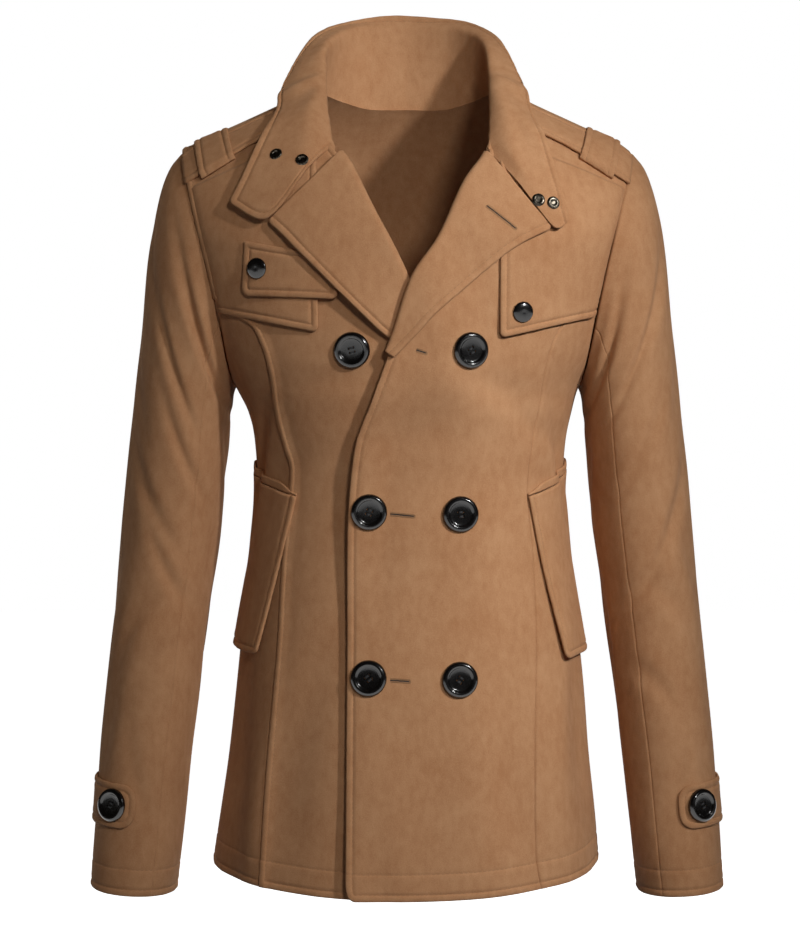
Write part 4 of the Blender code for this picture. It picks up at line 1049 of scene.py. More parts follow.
PER_DEGREE = 3  # samples of the armhole for each degree
ROUND = np.linspace(0, 360, 360 * PER_DEGREE + 1)
ARMHOLE_START = {
    side: armhole(ROUND, side) + tucked_in(ROUND, side) - sleeve_tube(ROUND, 0 * ROUND, side)
    for side in (-1, 1)
}


def plain_sleeve(angle, row, side):
    """A point of the sleeve; it starts as the armhole and becomes a plain tube."""
    angle, row = np.broadcast_arrays(np.asarray(angle, float), np.asarray(row, float))
    start = read_line(ARMHOLE_START[side], np.mod(angle, 360) * PER_DEGREE)
    return sleeve_tube(angle, row, side) + start * (1 - ease(row, 0, 3))[..., None]


def sleeve(angle, row, side, out=0.0):
    """A point `out` outside the sleeve's creased cloth."""
    round_it = plain_sleeve(angle + 1, row, side) - plain_sleeve(angle - 1, row, side)
    low, high = np.minimum(row + 0.05, SLEEVE_ROWS), np.maximum(row - 0.05, 0)
    down = plain_sleeve(angle, low, side) - plain_sleeve(angle, high, side)
    normal = unit(np.cross(round_it, down)) * side
    away = sleeve_crease(angle, row, side) + out
    return plain_sleeve(angle, row, side) + normal * away[..., None]


def sleeve_panel(side, first, last):
    def surface(u, v):
        return sleeve(first + (last - first) * u, SLEEVE_ROWS * v, side)

    return surface


girth = np.linalg.norm(np.diff(plain_sleeve(ROUND, SLEEVE_ROWS, 1), axis=0), axis=-1).sum()
print("round the cuff:", round(girth), "mm")

# %% The four sleeve panels
SLEEVE_EDGES = {"left": "pressed", "right": "pressed", "top": "seam", "bottom": "hem"}
for side, hand in ((-1, "right"), (1, "left")):
    for name, first, last in (("top", BACK_SEAM - 360, FRONT_SEAM), ("under", FRONT_SEAM, BACK_SEAM)):
        patch = Patch(sleeve_panel(side, first, last), SLEEVE_EDGES, outward=-side)
        cloth(f"{name}_sleeve_{hand}", patch, "hung")

# %% [markdown]
# ## Collar and lapels
#
# The collar stands up at the back of the neck, rolls over and lies down on the shoulders. Its two ends are
# turned right back to show the snaps. Four curves carry it: the seam at the neck, the roll, the belly of
# the leaf, and its outer edge. Each lapel is the front's facing, folded outwards along the front's own
# edge.

# %% Tables of the collar and lapels
COLLAR_COLUMNS = (
    "station", "roll_x", "roll_y", "roll_z", "belly_x", "belly_y", "belly_z", "edge_x", "edge_y", "edge_z",
)
RIGHT_COLLAR = (
    (0, -65.5, -84, -43, -119, -107, -109, -157, -101, -93),
    (1, -66, -77, -33, -117, -102, -82, -147, -96, -72),
    (2, -71, -48, -2, -106, -76, -26, -129, -74, -28),
    (3, -72.5, -22, 20, -98, -38, 8, -118, -44, -7),
    (4, -74, 8, 46, -95, -1, 39, -112, -10, 21),
    (5, -63, 38, 65, -76, 42, 71, -86, 43, 71),
    (6, -34, 66, 76, -44, 68, 83, -52, 69, 86),
    (7, 0, 73, 75, 0, 77, 84, 0, 80, 92),
)
LEFT_COLLAR = (
    (0, 71.5, -85, -43, 127, -107, -113, 142, -104, -108),
    (1, 72, -77, -33, 116, -103, -78, 136, -100, -85),
    (2, 73.5, -48, -2, 104, -77, -24, 123, -79, -33),
    (3, 73.5, -22, 20, 95, -40, 7, 113, -48, -10),
    (4, 72, 8, 46, 92, 0, 39, 103.5, -10, 25),
    (5, 65, 38, 65, 74, 41, 70, 82, 43, 70),
    (6, 36, 66, 76, 45, 68, 83, 54, 69, 86),
    (7, 0, 73, 75, 0, 77, 84, 0, 80, 92),
)
MIDDLE_STATION = 7  # stations count from the end of each half to the middle of the back
COLLAR_KNOTS = np.array((0, 0.24, 0.68, 1))  # seam, roll, belly, edge: shares of the way up the collar
# How far the leaf keeps off the body, by station from the right end to the left.
COLLAR_CLEAR = ((0, 12.6), (2, 12), (3, 8.5), (7, 7), (11, 8.5), (12, 10.6), (14, 9.8))
COLLAR_END = -47  # the height where the collar's seam starts on the fronts' edges
LAPEL_END = -50.5  # and where the lapels end

LAPEL_COLUMNS = ("row", "edge_x", "edge_z", "roll_out", "edge_out")
RIGHT_LAPEL = (
    (0, 12, -226, 5.2, 5.6), (1, -17, -209.5, 5.2, 7.4), (2, -42, -186, 5.4, 11.4),
    (3, -64, -164, 5.8, 12.6), (4, -85, -142.5, 6.4, 12.4), (5, -106, -122, 7, 11),
    (6, -119.5, -110.5, 7.2, 10),
)
LEFT_LAPEL = (
    (0, -11, -227, 5.2, 5.4), (1, 3, -213, 5.2, 5.6), (2, 24, -190, 5.4, 6), (3, 47, -170, 5.8, 6.6),
    (4, 70, -150, 6.4, 7), (5, 96, -130, 7, 7.4), (6, 125, -116, 7.2, 8.4),
)
print("collar: two halves of", MIDDLE_STATION, "stations; lapels:", len(RIGHT_LAPEL), "rows")

# %% Curves from the neck to the collar's edge
TIGHTNESS = 1.6  # a curve leaves a point at most this much faster than its slower side: it never loops


def curve_through(points, at, knots=None):
    """A smooth curve through points stacked on the first axis, read at shares from 0 to 1 of its knots."""
    points = np.asarray(points)
    if knots is None:
        chords = np.linalg.norm(np.diff(points, axis=0), axis=-1)
        knots = np.concatenate([0 * chords[:1], np.cumsum(chords, axis=0)])
        knots = knots / np.maximum(knots[-1:], 1e-6)
    else:
        knots = np.broadcast_to(knots.reshape(-1, *[1] * at.ndim), (len(knots), *at.shape))
    step = np.maximum(np.diff(knots, axis=0), 1e-6)[..., None]
    slopes = np.diff(points, axis=0) / step
    middle = (slopes[:-1] * step[1:] + slopes[1:] * step[:-1]) / (step[1:] + step[:-1])
    size = np.linalg.norm(slopes, axis=-1, keepdims=True)
    most = TIGHTNESS * np.minimum(size[:-1], size[1:])
    most = most / np.maximum(np.linalg.norm(middle, axis=-1, keepdims=True), 1e-6)
    tangents = np.concatenate([slopes[:1], middle * np.minimum(1, most), slopes[-1:]])
    i = np.clip(np.sum(at[None] >= knots, axis=0) - 1, 0, len(knots) - 2)

    def pick(values, index):
        return np.take_along_axis(values, index[None, ..., None], axis=0)[0]

    start, width = pick(knots[..., None], i)[..., 0], pick(step, i)
    u = ((at - start) / width[..., 0])[..., None]
    found = pick(points, i) * (1 + 2 * u) * (1 - u) ** 2 + pick(points, i + 1) * (3 - 2 * u) * u**2
    bend = pick(tangents, i) * u * (1 - u) ** 2 - pick(tangents, i + 1) * (1 - u) * u**2
    return found + width * bend


def front_edge(side, angle, out=0.0):
    """A point of a front's edge beside the neck, by its angle round the armhole's height."""
    rise = 2 - angle / 180
    turn = UNDER_TURN(rise) if side < 0 else OVER_TURN(rise)
    return body(turn, level_up(rise), out)


def angle_at(side, height):
    """The angle where a front's edge is at a height, for the ends of the collar and the lapels."""
    angles = np.linspace(30, 75, 181)
    return float(np.interp(-height, -front_edge(side, angles)[:, 2], angles))


print("the lapels end at", [round(angle_at(side, LAPEL_END), 1) for side in (-1, 1)], "degrees")

# %% The seam at the neck
NECK_SAMPLES = 20  # for each whole station
NECK_SHARES = (0.38, 0.26, 0.13, 0)  # of the shoulder's width, from its seam to the middle of the back
SEWN_IN = 2.0  # the collar's edge is sewn in this far under the panels' edges
NECK = {}
for side in (-1, 1):
    start = angle_at(side, COLLAR_END)
    first, rest = np.linspace(start, 45, NECK_SAMPLES + 1)[:-1], np.linspace(45, 0, 3 * NECK_SAMPLES + 1)
    angle = np.concatenate([first, rest])
    share = np.interp(np.arange(1, 3 * NECK_SAMPLES + 1) / NECK_SAMPLES, (0, 1, 2, 3), NECK_SHARES)
    top_turn = float(ARM_TURN(2))
    turn, level = 2 - top_turn * side * share, back_level(share, np.full_like(share, TOP_LEVEL))
    line = np.concatenate([front_edge(side, angle), body(turn, level)])
    above = np.concatenate([front_edge(side, angle, 1.0), body(turn, level, 1.0)])
    normals = unit(above - line)
    into = unit(np.cross(normals, unit(np.gradient(line, axis=0)))) * side
    NECK[side] = line - normals * (CLOTH + 0.1) - into * SEWN_IN
seams = [float(np.linalg.norm(np.diff(line, axis=0), axis=-1).sum()) for line in NECK.values()]
print("collar seam:", [round(seam) for seam in seams], "mm")

# %% Holding the collar's leaf off the body
GENTLE = 1.5  # within this many millimetres of its least distance, the leaf starts to be held off
LIFT_SMOOTHED = 14  # times


def smoothed(field, times):
    """A grid of values, each averaged with its neighbours a number of times."""
    for axis in (0, 1) * times:
        field = np.moveaxis(field, axis, 0)
        field = np.concatenate([field[:1], (field[:-2] + 2 * field[1:-1] + field[2:]) / 4, field[-1:]])
        field = np.moveaxis(field, 0, axis)
    return field


def held_off(points, clear, share):
    """Points moved gently outwards where they come nearer than `clear` to the front of the body."""
    turn, level = facing(points[..., 0], points[..., 2])
    normal = body_normal(turn, level)
    short = clear - np.sum((points - plain_body(turn, level)) * normal, axis=-1)
    lift = smoothed(share * (short + np.hypot(short, GENTLE)) / 2, LIFT_SMOOTHED)
    return points + normal * lift[..., None]


print("the leaf keeps off the body by", [row[1] for row in COLLAR_CLEAR], "mm")

# %% The collar on a grid
COLLAR_ACROSS, COLLAR_DOWN = 421, 121
LEAF_FROM, LEAF_FULL = 0.2, 0.5  # shares of the way up the collar: the stand is left alone
BACK_FROM, FRONT_FULL = 4.8, 3.0  # stations: so is the back, where it stands free of the shoulders
RIPPLES = ((0.8, 2.1, 0.6), (0.5, 4.7, 2))  # height, waves and phase of the leaf's slow ripples
END_TUCK = 5.0  # the left end is drawn down to meet the lapel


def collar_half(side, station, at):
    """One half of the collar: four curves, and a smooth line across them at each station."""
    table = RIGHT_COLLAR if side < 0 else LEFT_COLLAR
    beyond = [-value if "_x" in name else value for name, value in zip(COLLAR_COLUMNS, table[-2])]
    table = (*table, (MIDDLE_STATION + 1, *beyond[1:]))  # the curve goes on past the middle of the back

    def of(part):
        columns = [through(table, COLLAR_COLUMNS, "station", f"{part}_{a}", station) for a in "xyz"]
        return np.stack(columns, -1)

    seam = read_line(NECK[side], station * NECK_SAMPLES)
    return curve_through([seam, of("roll"), of("belly"), of("edge")], at, COLLAR_KNOTS)


def collar_points():
    """The collar's outer face on a grid, with its columns marked off evenly by length."""
    last = 2 * MIDDLE_STATION
    station, at = np.meshgrid(np.linspace(0, last, COLLAR_ACROSS), np.linspace(0, 1, COLLAR_DOWN))
    nearer = np.minimum(station, last - station)
    right, left = (collar_half(side, nearer, at) for side in (-1, 1))
    points = np.where((station <= MIDDLE_STATION)[..., None], right, left)
    clear = read_pairs(COLLAR_CLEAR, station)
    held = ease(at, LEAF_FROM, LEAF_FULL) * ease(nearer, BACK_FROM, FRONT_FULL)
    points = held_off(points, clear, held)
    ripple = sum(height * np.sin(station * waves + phase) for height, waves, phase in RIPPLES)
    points = points + np.array([0, -0.25, 1.0]) * (ripple * ease(at, 0.6, 1) * 0.7)[..., None]
    meets_lapel = ease(station, last - 0.8, last) * groove(at, 0.45, 0.26, END_TUCK)
    points = points - np.array([0.3, 0.15, 1.0]) * meets_lapel[..., None]
    points[:, 2:-2] = smoothed(points, 3)[:, 2:-2]
    steps = np.linalg.norm(np.diff(points, axis=0), axis=-1)
    length = np.pad(np.cumsum(steps, axis=0), ((1, 0), (0, 0)))
    for k in range(points.shape[1]):
        even = np.linspace(0, length[-1, k], len(length))
        points[:, k] = np.stack([np.interp(even, length[:, k], points[:, k, a]) for a in range(3)], -1)
    return points


COLLAR = collar_points()


def collar_surface(u, v):
    return np.stack([looked_up(COLLAR[..., a], u, v) for a in range(3)], -1)


COLLAR_EDGES = {"left": "free", "right": "turned", "top": "join", "bottom": "free"}
ROUND_ENDS = (("left", "bottom", 5), ("right", "bottom", 5))
cloth("collar", Patch(collar_surface, COLLAR_EDGES, step=4, corners=ROUND_ENDS, outward=-1), "laid")

# %% Lapels
FOLD_ANGLES = np.radians((0, 40, 80, 120, 155))  # points round the fold
LEAF_SHARES = (0.04, 0.2, 0.4, 0.6, 0.8, 1)  # and from the fold to the leaf's edge
LAPEL_ROWS = 6
FOLD_IN = 0.45  # the fold's middle lies this far inside the front's edge
LIFT_LATE = 1.6  # the higher, the nearer to its edge a leaf lifts off


def lapel_surface(side):
    """u runs from the fold to the leaf's edge, v from the collar down to the break of the lapel."""
    table = RIGHT_LAPEL if side < 0 else LEFT_LAPEL
    rows = np.linspace(0, LAPEL_ROWS, LAPEL_ROWS * NECK_SAMPLES + 1)
    top = angle_at(side, LAPEL_END)
    angle = np.where(rows < 5, 135 - 15 * rows, 60 + (top - 60) * (rows - 5))
    line = front_edge(side, angle)
    if side > 0:
        line = front_edge(side, angle, lap_out(line[:, 0], line[:, 2]))
    normals = unit(front_edge(side, angle, 1.0) - front_edge(side, angle))
    into = unit(np.cross(normals, unit(np.gradient(line, axis=0)))) * side

    def surface(u, v):
        row = LAPEL_ROWS * (1 - v)

        def of(name):
            return through(table, LAPEL_COLUMNS, "row", name, row)

        start, normal, inward = (read_line(values, row * NECK_SAMPLES) for values in (line, normals, into))
        roll = of("roll_out")
        middle, radius = (roll - CLOTH) / 2, (roll + CLOTH) / 2
        start = start + inward * FOLD_IN
        points = []
        for angle in FOLD_ANGLES:
            ahead, up = radius * math.sin(angle), middle - radius * math.cos(angle)
            points.append(start + inward * ahead[..., None] + normal * up[..., None])
        for share in LEAF_SHARES:
            x = start[..., 0] * (1 - share) + of("edge_x") * share
            z = start[..., 2] * (1 - share) + of("edge_z") * share
            out = roll + (of("edge_out") - roll) * share**LIFT_LATE
            if side > 0:
                out = out + lap_out(x, z)
            points.append(body(*facing(x, z), out))
        return curve_through(points, u)

    return surface


LAPEL_EDGES = {"left": "join", "right": "free", "top": "turned", "bottom": "turned"}
for side, hand in ((-1, "right"), (1, "left")):
    patch = Patch(lapel_surface(side), LAPEL_EDGES, step=3.6, outward=side, corners=(("right", "top", 4),))
    cloth(f"lapel_{hand}", patch, "laid", (f"front_centre_{hand}_cloth",))

# %% [markdown]
# ## Pieces laid on the coat
#
# Flaps, straps and tabs are cut as flat shapes and lie on the panels, so each is asked from the same form,
# moved out by its own thickness. Corners that a maker turns and trims come out round, so their grids are
# warped from a square corner to a quarter of a disc.

# %% Storm flaps and the chest tab
FLAP_OUT = 3.1  # outer face of a flap on a panel
TAB_OUT = 6.2  # and of a tab on a flap
FLAP_CLOTH = 2.8  # thickness
# Corners of each piece as x and z: top start, top end, low end, low start.
RIGHT_STORM_FLAP = ((80, -33), (196, -79), (169, -188), (77, -206))
LEFT_STORM_FLAP = ((82, -36), (196, -79), (163, -191), (80.5, -211))
CHEST_TAB = ((141, -126), (74, -138), (56, -177.5), (143, -173.5))
ARMHOLE_GAP = 0.6  # a flap's sewn edge stops this far inside the armhole's
SEWN_DOWN, SEWN_OVER = 0.2, 8  # it lies this low there, as a share, and rises over this many millimetres


def laid_patch(side, corners, out, under_arm=False):
    """A four-sided piece on the front. One that is under the arm ends along the armhole."""
    corners = [np.array(corner, float) for corner in corners]

    def surface(u, v):
        across, down = u[..., None], v[..., None]
        top = corners[0] * (1 - across) + corners[1] * across
        low = corners[3] * (1 - across) + corners[2] * across
        at = top * (1 - down) + low * down
        x, z = at[..., 0], at[..., 1]
        share = 1
        if under_arm:
            start = corners[0][0] * (1 - v) + corners[3][0] * v
            x = start + (armhole_x(z) - ARMHOLE_GAP - start) * u
            share = SEWN_DOWN + (1 - SEWN_DOWN) * ease(armhole_x(z) - x, ARMHOLE_GAP, SEWN_OVER)
        return body(*facing(side * x, z), out(x, z) * share)

    return surface


def storm_out(x, z):
    """A storm flap is sewn down at the top only, so it lifts and waves a little towards its lower edge."""
    return FLAP_OUT + 1.4 * ease(z, -165, -205) + 0.5 * np.sin(x / 13) * ease(z, -120, -200)


STORM_EDGES = {"left": "free", "right": "seam", "top": "join", "bottom": "free"}
for side, hand, corners in ((-1, "right", RIGHT_STORM_FLAP), (1, "left", LEFT_STORM_FLAP)):
    surface = laid_patch(side, corners, storm_out, under_arm=True)
    rounded = (("left", "bottom", 6),)
    patch = Patch(surface, STORM_EDGES, thick=FLAP_CLOTH, step=4, outward=side, corners=rounded)
    cloth(f"storm_flap_{hand}", patch, "laid", (f"front_centre_{hand}_cloth",))

TAB_EDGES = {"left": "free", "right": "free", "top": "free", "bottom": "free"}
surface = laid_patch(-1, CHEST_TAB, lambda x, z: TAB_OUT + 0.8 * ease(z, -150, -175))
rounded = (("left", "bottom", 9), ("right", "bottom", 11))
patch = Patch(surface, TAB_EDGES, thick=FLAP_CLOTH, step=3.4, corners=rounded)
cloth("chest_tab", patch, "laid", ("storm_flap_right_cloth",))

# %% [markdown]
# ## Shoulder straps
#
# A strap once held a belt or a bag on the shoulder. It is a flat band, sewn in at the armhole, that points
# to the collar and runs through a loop. One could model strap and loop as two boxes and bend them, but the
# shoulder curves both ways, so they are drawn on the shoulder's own surface, and the loop is eased up over
# the strap and down again at both of its ends.

# %% Straps and their loops
STRAP_OUT = 3.6
STRAP_INNER, STRAP_OUTER = 104, 203.5  # x of its two ends
STRAP_SLANT = 5.5  # the armhole end slants by this much
STRAP_BEHIND = 8  # its rear edge lies this far below the shoulder seam
STRAP_FRONT_X, STRAP_FRONT_Z = (100, 140, 198), (-20, -40, -74)
LOOP_END, LOOP_SLANT, LOOP_WIDTH = 191, 7, 30
LOOP_LOW, LOOP_HIGH = 2.9, STRAP_OUT + 2.6
LOOP_PAST = 0.16  # how far it reaches past the strap at each side, as a share of the strap's width
LOOP_LIES, LOOP_RISES = 0.13, 0.03  # past the first it lies down, and by the second it is over the strap


def strap_line(x, behind):
    """Height of the shoulder strap's front or rear edge."""
    if behind:
        return shoulder_z(x) - STRAP_BEHIND
    return np.interp(x, STRAP_FRONT_X, STRAP_FRONT_Z)


def epaulette(side):
    """u runs outwards along the strap, v from its rear edge to its front edge."""

    def surface(u, v):
        x = STRAP_INNER + (STRAP_OUTER - STRAP_INNER - STRAP_SLANT * v) * u
        z = strap_line(x, True) * (1 - v) + strap_line(x, False) * v
        return body(*facing(side * x, z), STRAP_OUT + 0 * u)

    return surface


def epaulette_loop(side):
    """A band over the strap, its two ends down on the shoulder. v runs over the strap."""

    def surface(u, v):
        reach = -LOOP_PAST + (1 + 2 * LOOP_PAST) * v
        x = LOOP_END - LOOP_SLANT * reach - LOOP_WIDTH * u
        z = strap_line(x, True) * (1 - reach) + strap_line(x, False) * reach
        over = ease(reach, -LOOP_LIES, -LOOP_RISES) * ease(1 - reach, -LOOP_LIES, -LOOP_RISES)
        return body(*facing(side * x, z), LOOP_LOW + (LOOP_HIGH - LOOP_LOW) * over)

    return surface


STRAP_EDGES = {"left": "free", "right": "join", "top": "free", "bottom": "free"}
LOOP_EDGES = {"left": "free", "right": "free", "top": "join", "bottom": "join"}
for side, hand in ((-1, "right"), (1, "left")):
    patch = Patch(epaulette(side), STRAP_EDGES, thick=2.6, step=3.4, outward=side)
    cloth(f"epaulette_{hand}", patch, "laid", (f"front_centre_{hand}_cloth",))
    patch = Patch(epaulette_loop(side), LOOP_EDGES, thick=2.2, step=2.6, outward=-side)
    cloth(f"epaulette_loop_{hand}", patch, "laid", (f"epaulette_{hand}_cloth",))

# %% [markdown]
# ## Pockets
#
# A narrow welt closes the slanted mouth of each pocket, and a long flap hangs below it round the side seam.
# Both follow the same slanted line, so one function reads the line and both pieces start from it. The flap
# hangs free: the lower it is, the further it stands off, with a slight wave, as a pressed flap does in use.

# %% Pocket flaps and welts
POCKET_COLUMNS = ("down", "front_x", "z", "side_z")
RIGHT_POCKET = ((0, 97, -352, -332), (0.5, 113.5, -421, -414), (1, 131.5, -495, -493))
LEFT_POCKET = ((0, 107, -352, -330), (0.5, 121, -424, -414), (1, 138, -499, -496))
POCKET_BEHIND, WELT_BEHIND = 1.24, 1.1  # the turns where they end, just behind the side seam
FLAP_HANGS_OUT, FLAP_WAVE = 3.2, 0.5
WELT_DEPTH = 7.5
WELT_LIFT = 0.8  # the welt's lower edge lies this far above the flap's line
WELT_POINT, WELT_TAPER = 0.25, 0.17  # it tapers to this share of its depth, over this share of its length


def pocket_lines(side, down):
    table = RIGHT_POCKET if side < 0 else LEFT_POCKET

    def of(name):
        return through(table, POCKET_COLUMNS, "down", name, down)

    return turn_at(side * of("front_x"), of("z")), of("z"), of("side_z")


def towards_side(turn, front):
    """How far a turn is on its way from the pocket's front end to the side seam, from 0 to 1."""
    return np.clip((np.abs(turn) - np.abs(front)) / (1 - np.abs(front)), 0, 1)


def pocket_flap(side):
    def surface(u, v):
        front, front_z, side_z = pocket_lines(side, v)
        turn = front + (side * POCKET_BEHIND - front) * u
        out = FLAP_OUT + 0.5 + FLAP_HANGS_OUT * v**2 + FLAP_WAVE * np.sin(turn * 24) * v
        return body(turn, front_z + (side_z - front_z) * towards_side(turn, front), out)

    return surface


def pocket_welt(side):
    def surface(u, v):
        front, front_z, side_z = pocket_lines(side, 0 * v)
        turn = front + (side * WELT_BEHIND - front) * u
        tall = WELT_DEPTH * (WELT_POINT + (1 - WELT_POINT) * ease(u, 0, WELT_TAPER))
        level = front_z + (side_z - front_z) * towards_side(turn, front) + WELT_LIFT + tall * (1 - v)
        return body(turn, level, FLAP_OUT + 0 * u)

    return surface


FLAP_EDGES = {"left": "free", "right": "free", "top": "join", "bottom": "free"}
WELT_EDGES = {"left": "turned", "right": "turned", "top": "turned", "bottom": "turned"}
for side, hand in ((-1, "right"), (1, "left")):
    panels = (f"front_side_{hand}_cloth", f"front_centre_{hand}_cloth")
    low_corners = (("left", "bottom", 6), ("right", "bottom", 6))
    patch = Patch(
        pocket_flap(side), FLAP_EDGES, thick=FLAP_CLOTH, step=4, outward=side, corners=low_corners
    )
    cloth(f"pocket_flap_{hand}", patch, "hung", panels)
    patch = Patch(pocket_welt(side), WELT_EDGES, thick=FLAP_CLOTH, step=3, outward=side)
    cloth(f"pocket_welt_{hand}", patch, "laid", panels)

# %% [markdown]
# ## Sleeve tabs
#
# A tab once pulled the sleeve tight in the rain. It is sewn into the seam behind the arm, comes round the
# outside, and its rounded free end is buttoned down in front. A band of the sleeve's own surface, lifted by
# its thickness, lies right at every angle, which a bent box would not.

# %% Sleeve tabs
TAB_ROWS = (13.4, 14.22)
TAB_START = -98
TAB_REACH = 187  # degrees round the arm
TAB_LIFT = 3.0


def sleeve_tab(side):
    """u runs round the arm from the back seam to the free end, v down its width."""

    def surface(u, v):
        angle = TAB_START + TAB_REACH * u
        return sleeve(angle, TAB_ROWS[0] + (TAB_ROWS[1] - TAB_ROWS[0]) * v, side, TAB_LIFT + 0 * u)

    return surface


SLEEVE_TAB_EDGES = {"left": "seam", "right": "free", "top": "free", "bottom": "free"}
tab_end = (("right", "top", 14), ("right", "bottom", 14))
for side, hand in ((-1, "right"), (1, "left")):
    patch = Patch(sleeve_tab(side), SLEEVE_TAB_EDGES, thick=2.4, step=3.4, corners=tab_end, outward=-side)
    cloth(f"sleeve_tab_{hand}", patch, "laid", (f"top_sleeve_{hand}_cloth",))

# %% [markdown]
# ## Buttons and snaps
#
# A coat button is turned from horn: a blank cylinder, a rounded rim, a dished middle and four drilled
# holes. The same steps work here: a cylinder, insets and extrusions of its front face, a bevel for the
# turned edges, and a Boolean for the drill. One blank is made for each kind, and its copies are moved into
# place in their meshes.

# %% Turned blanks
BEVEL_STEPS = 4
SHARP_FROM = 12  # degrees: a corner sharper than this is softened


def turned_blank(name, radius, steps, bevel, segments=72):
    """A turned piece on the XY plane: a cylinder, then steps of (inset, rise) on its front face, in mm."""
    nothing_selected()
    height = steps[0][1]
    bpy.ops.mesh.primitive_cylinder_add(
        vertices=segments, radius=radius * MM, depth=height * MM, location=(0, 0, height * MM / 2)
    )
    blank = bpy.context.active_object
    blank.name = name
    bpy.ops.object.mode_set(mode="EDIT")
    bpy.ops.mesh.select_all(action="DESELECT")
    bpy.ops.mesh.select_mode(type="FACE")
    made = bmesh.from_edit_mesh(blank.data)
    for face in made.faces:
        face.select = face.normal.z > 0.9
    bmesh.update_edit_mesh(blank.data)
    for inset, rise in steps[1:]:
        bpy.ops.mesh.inset(thickness=inset * MM)
        bpy.ops.transform.translate(value=(0, 0, rise * MM))
    bpy.ops.object.mode_set(mode="OBJECT")
    bpy.ops.object.transform_apply(location=True, rotation=True, scale=True)
    soften = blank.modifiers.new("Turned edges", "BEVEL")
    soften.width = bevel * MM
    soften.segments = BEVEL_STEPS
    soften.limit_method = "ANGLE"
    soften.angle_limit = math.radians(SHARP_FROM)
    bpy.ops.object.modifier_apply(modifier=soften.name)
    return blank


print("a turned edge is bevelled in", BEVEL_STEPS, "steps")

# %% Holes, and the thread through them
STRAND = 0.3  # radius of a strand of button thread
STRAND_PITCH = 0.55


def drill(blank, spread, radius):
    """Four thread holes through a blank."""
    for index in range(4):
        angle = math.radians(45 + 90 * index)
        nothing_selected()
        bpy.ops.mesh.primitive_cylinder_add(
            vertices=20, radius=radius * MM, depth=14 * MM,
            location=(spread * math.cos(angle) * MM, spread * math.sin(angle) * MM, 0),
        )
        bit = bpy.context.active_object
        nothing_selected()
        bpy.context.view_layer.objects.active = blank
        hole = blank.modifiers.new("Thread hole", "BOOLEAN")
        hole.object = bit
        hole.solver = "EXACT"
        bpy.ops.object.modifier_apply(modifier=hole.name)
        bpy.data.objects.remove(bit)


def thread_through(spread, height, finish):
    """Two bars of thread, each of three strands, bowed over the bridge between a pair of holes."""
    strands = []
    reach = spread * math.sin(math.radians(45))
    for side in (-1, 1):
        for strand in (-1, 0, 1):
            nothing_selected()
            bpy.ops.mesh.primitive_torus_add(
                major_radius=reach * MM, minor_radius=STRAND * MM, major_segments=24, minor_segments=8,
                location=(0, (side * reach + strand * STRAND_PITCH) * MM, (height - 0.35) * MM),
                rotation=(math.radians(90), 0, 0),
            )
            ring = bpy.context.active_object
            ring.scale = (1, 0.55 + 0.06 * strand, 1)  # flattened, each strand a little differently
            bpy.ops.object.transform_apply(location=True, rotation=True, scale=True)
            strands.append(ring)
    nothing_selected()
    for ring in strands:
        ring.select_set(True)
    bpy.context.view_layer.objects.active = strands[0]
    bpy.ops.object.join()
    strands[0].data.materials.append(finish)
    return strands[0]


def joined(blank, extra, finish):
    """The mesh of a finished blank, with its thread where it has any. The blank itself is removed."""
    blank.data.materials.clear()
    blank.data.materials.append(finish)
    if extra is not None:
        nothing_selected()
        extra.select_set(True)
        blank.select_set(True)
        bpy.context.view_layer.objects.active = blank
        bpy.ops.object.join()
    mesh = blank.data
    mesh.shade_smooth()
    mesh.set_sharp_from_angle(angle=math.radians(55))
    bpy.data.objects.remove(blank)
    return mesh


print("strands of thread on a button:", 2 * 3)

# %% Button thread: black, waxed, and duller than the horn. The slits' ribbons use it too, as painted shade
BUTTON_PLY = 0.0006

BUTTON_THREAD_AND_SLIT_SHADE, tree, shader, place = start_finish("Black waxed button thread")
twist = node(tree, "TexNoise", {"Scale": 1 / BUTTON_PLY, "Detail": 2.0}, Vector=place)
shades = node(tree, "ValToRGB", {}, Fac=twist.outputs["Fac"])
shades.color_ramp.elements[0].color = linear("#0A0A0B")
shades.color_ramp.elements[1].color = linear("#202022")
tree.links.new(shades.outputs["Color"], shader.inputs["Base Color"])
shader.inputs["Roughness"].default_value = 0.6
print("finish:", BUTTON_THREAD_AND_SLIT_SHADE.name)

# %% The four kinds
BIG_BUTTON, CUFF_BUTTON, FLAP_BUTTON, SNAP = 32, 30, 18.5, 11.5  # across, in millimetres
HOLE_SPREAD = 0.085  # from a button's middle to a hole's, as a share of its width
HOLE_RADIUS = 1.2


def coat_button(size):
    """A four-hole coat button with a thick rolled rim round a dished middle."""
    r = size / 2
    rim = ((0, 2.0), (r * 0.05, 1.4), (r * 0.09, 1.1), (r * 0.13, 0))
    dish = ((r * 0.07, -0.9), (r * 0.05, -0.8), (r * 0.22, -0.3))
    blank = turned_blank("coat_button", r, (*rim, *dish), 0.5)
    drill(blank, size * HOLE_SPREAD, HOLE_RADIUS)
    return joined(blank, thread_through(size * HOLE_SPREAD, 2.5, BUTTON_THREAD_AND_SLIT_SHADE), HORN)


def flap_button(size):
    """A small button with a low dome, sewn on from behind."""
    r = size / 2
    steps = ((0, 0.9), (r * 0.07, 0.9), (r * 0.14, 0.7), (r * 0.2, 0.5), (r * 0.26, 0.3), (r * 0.2, -0.15))
    return joined(turned_blank("flap_button", r, steps, 0.35, 48), None, HORN)


def snap_ring(size):
    """The ring of a press snap: a rolled rim round a deep dark cup."""
    r = size / 2
    rim = ((0, 0.5), (r * 0.1, 0.6), (r * 0.22, 0.35), (r * 0.16, -0.1))
    steps = (*rim, (r * 0.1, -0.75), (r * 0.12, -0.3))
    return joined(turned_blank("snap_ring", r, steps, 0.2, 48), None, NICKEL)


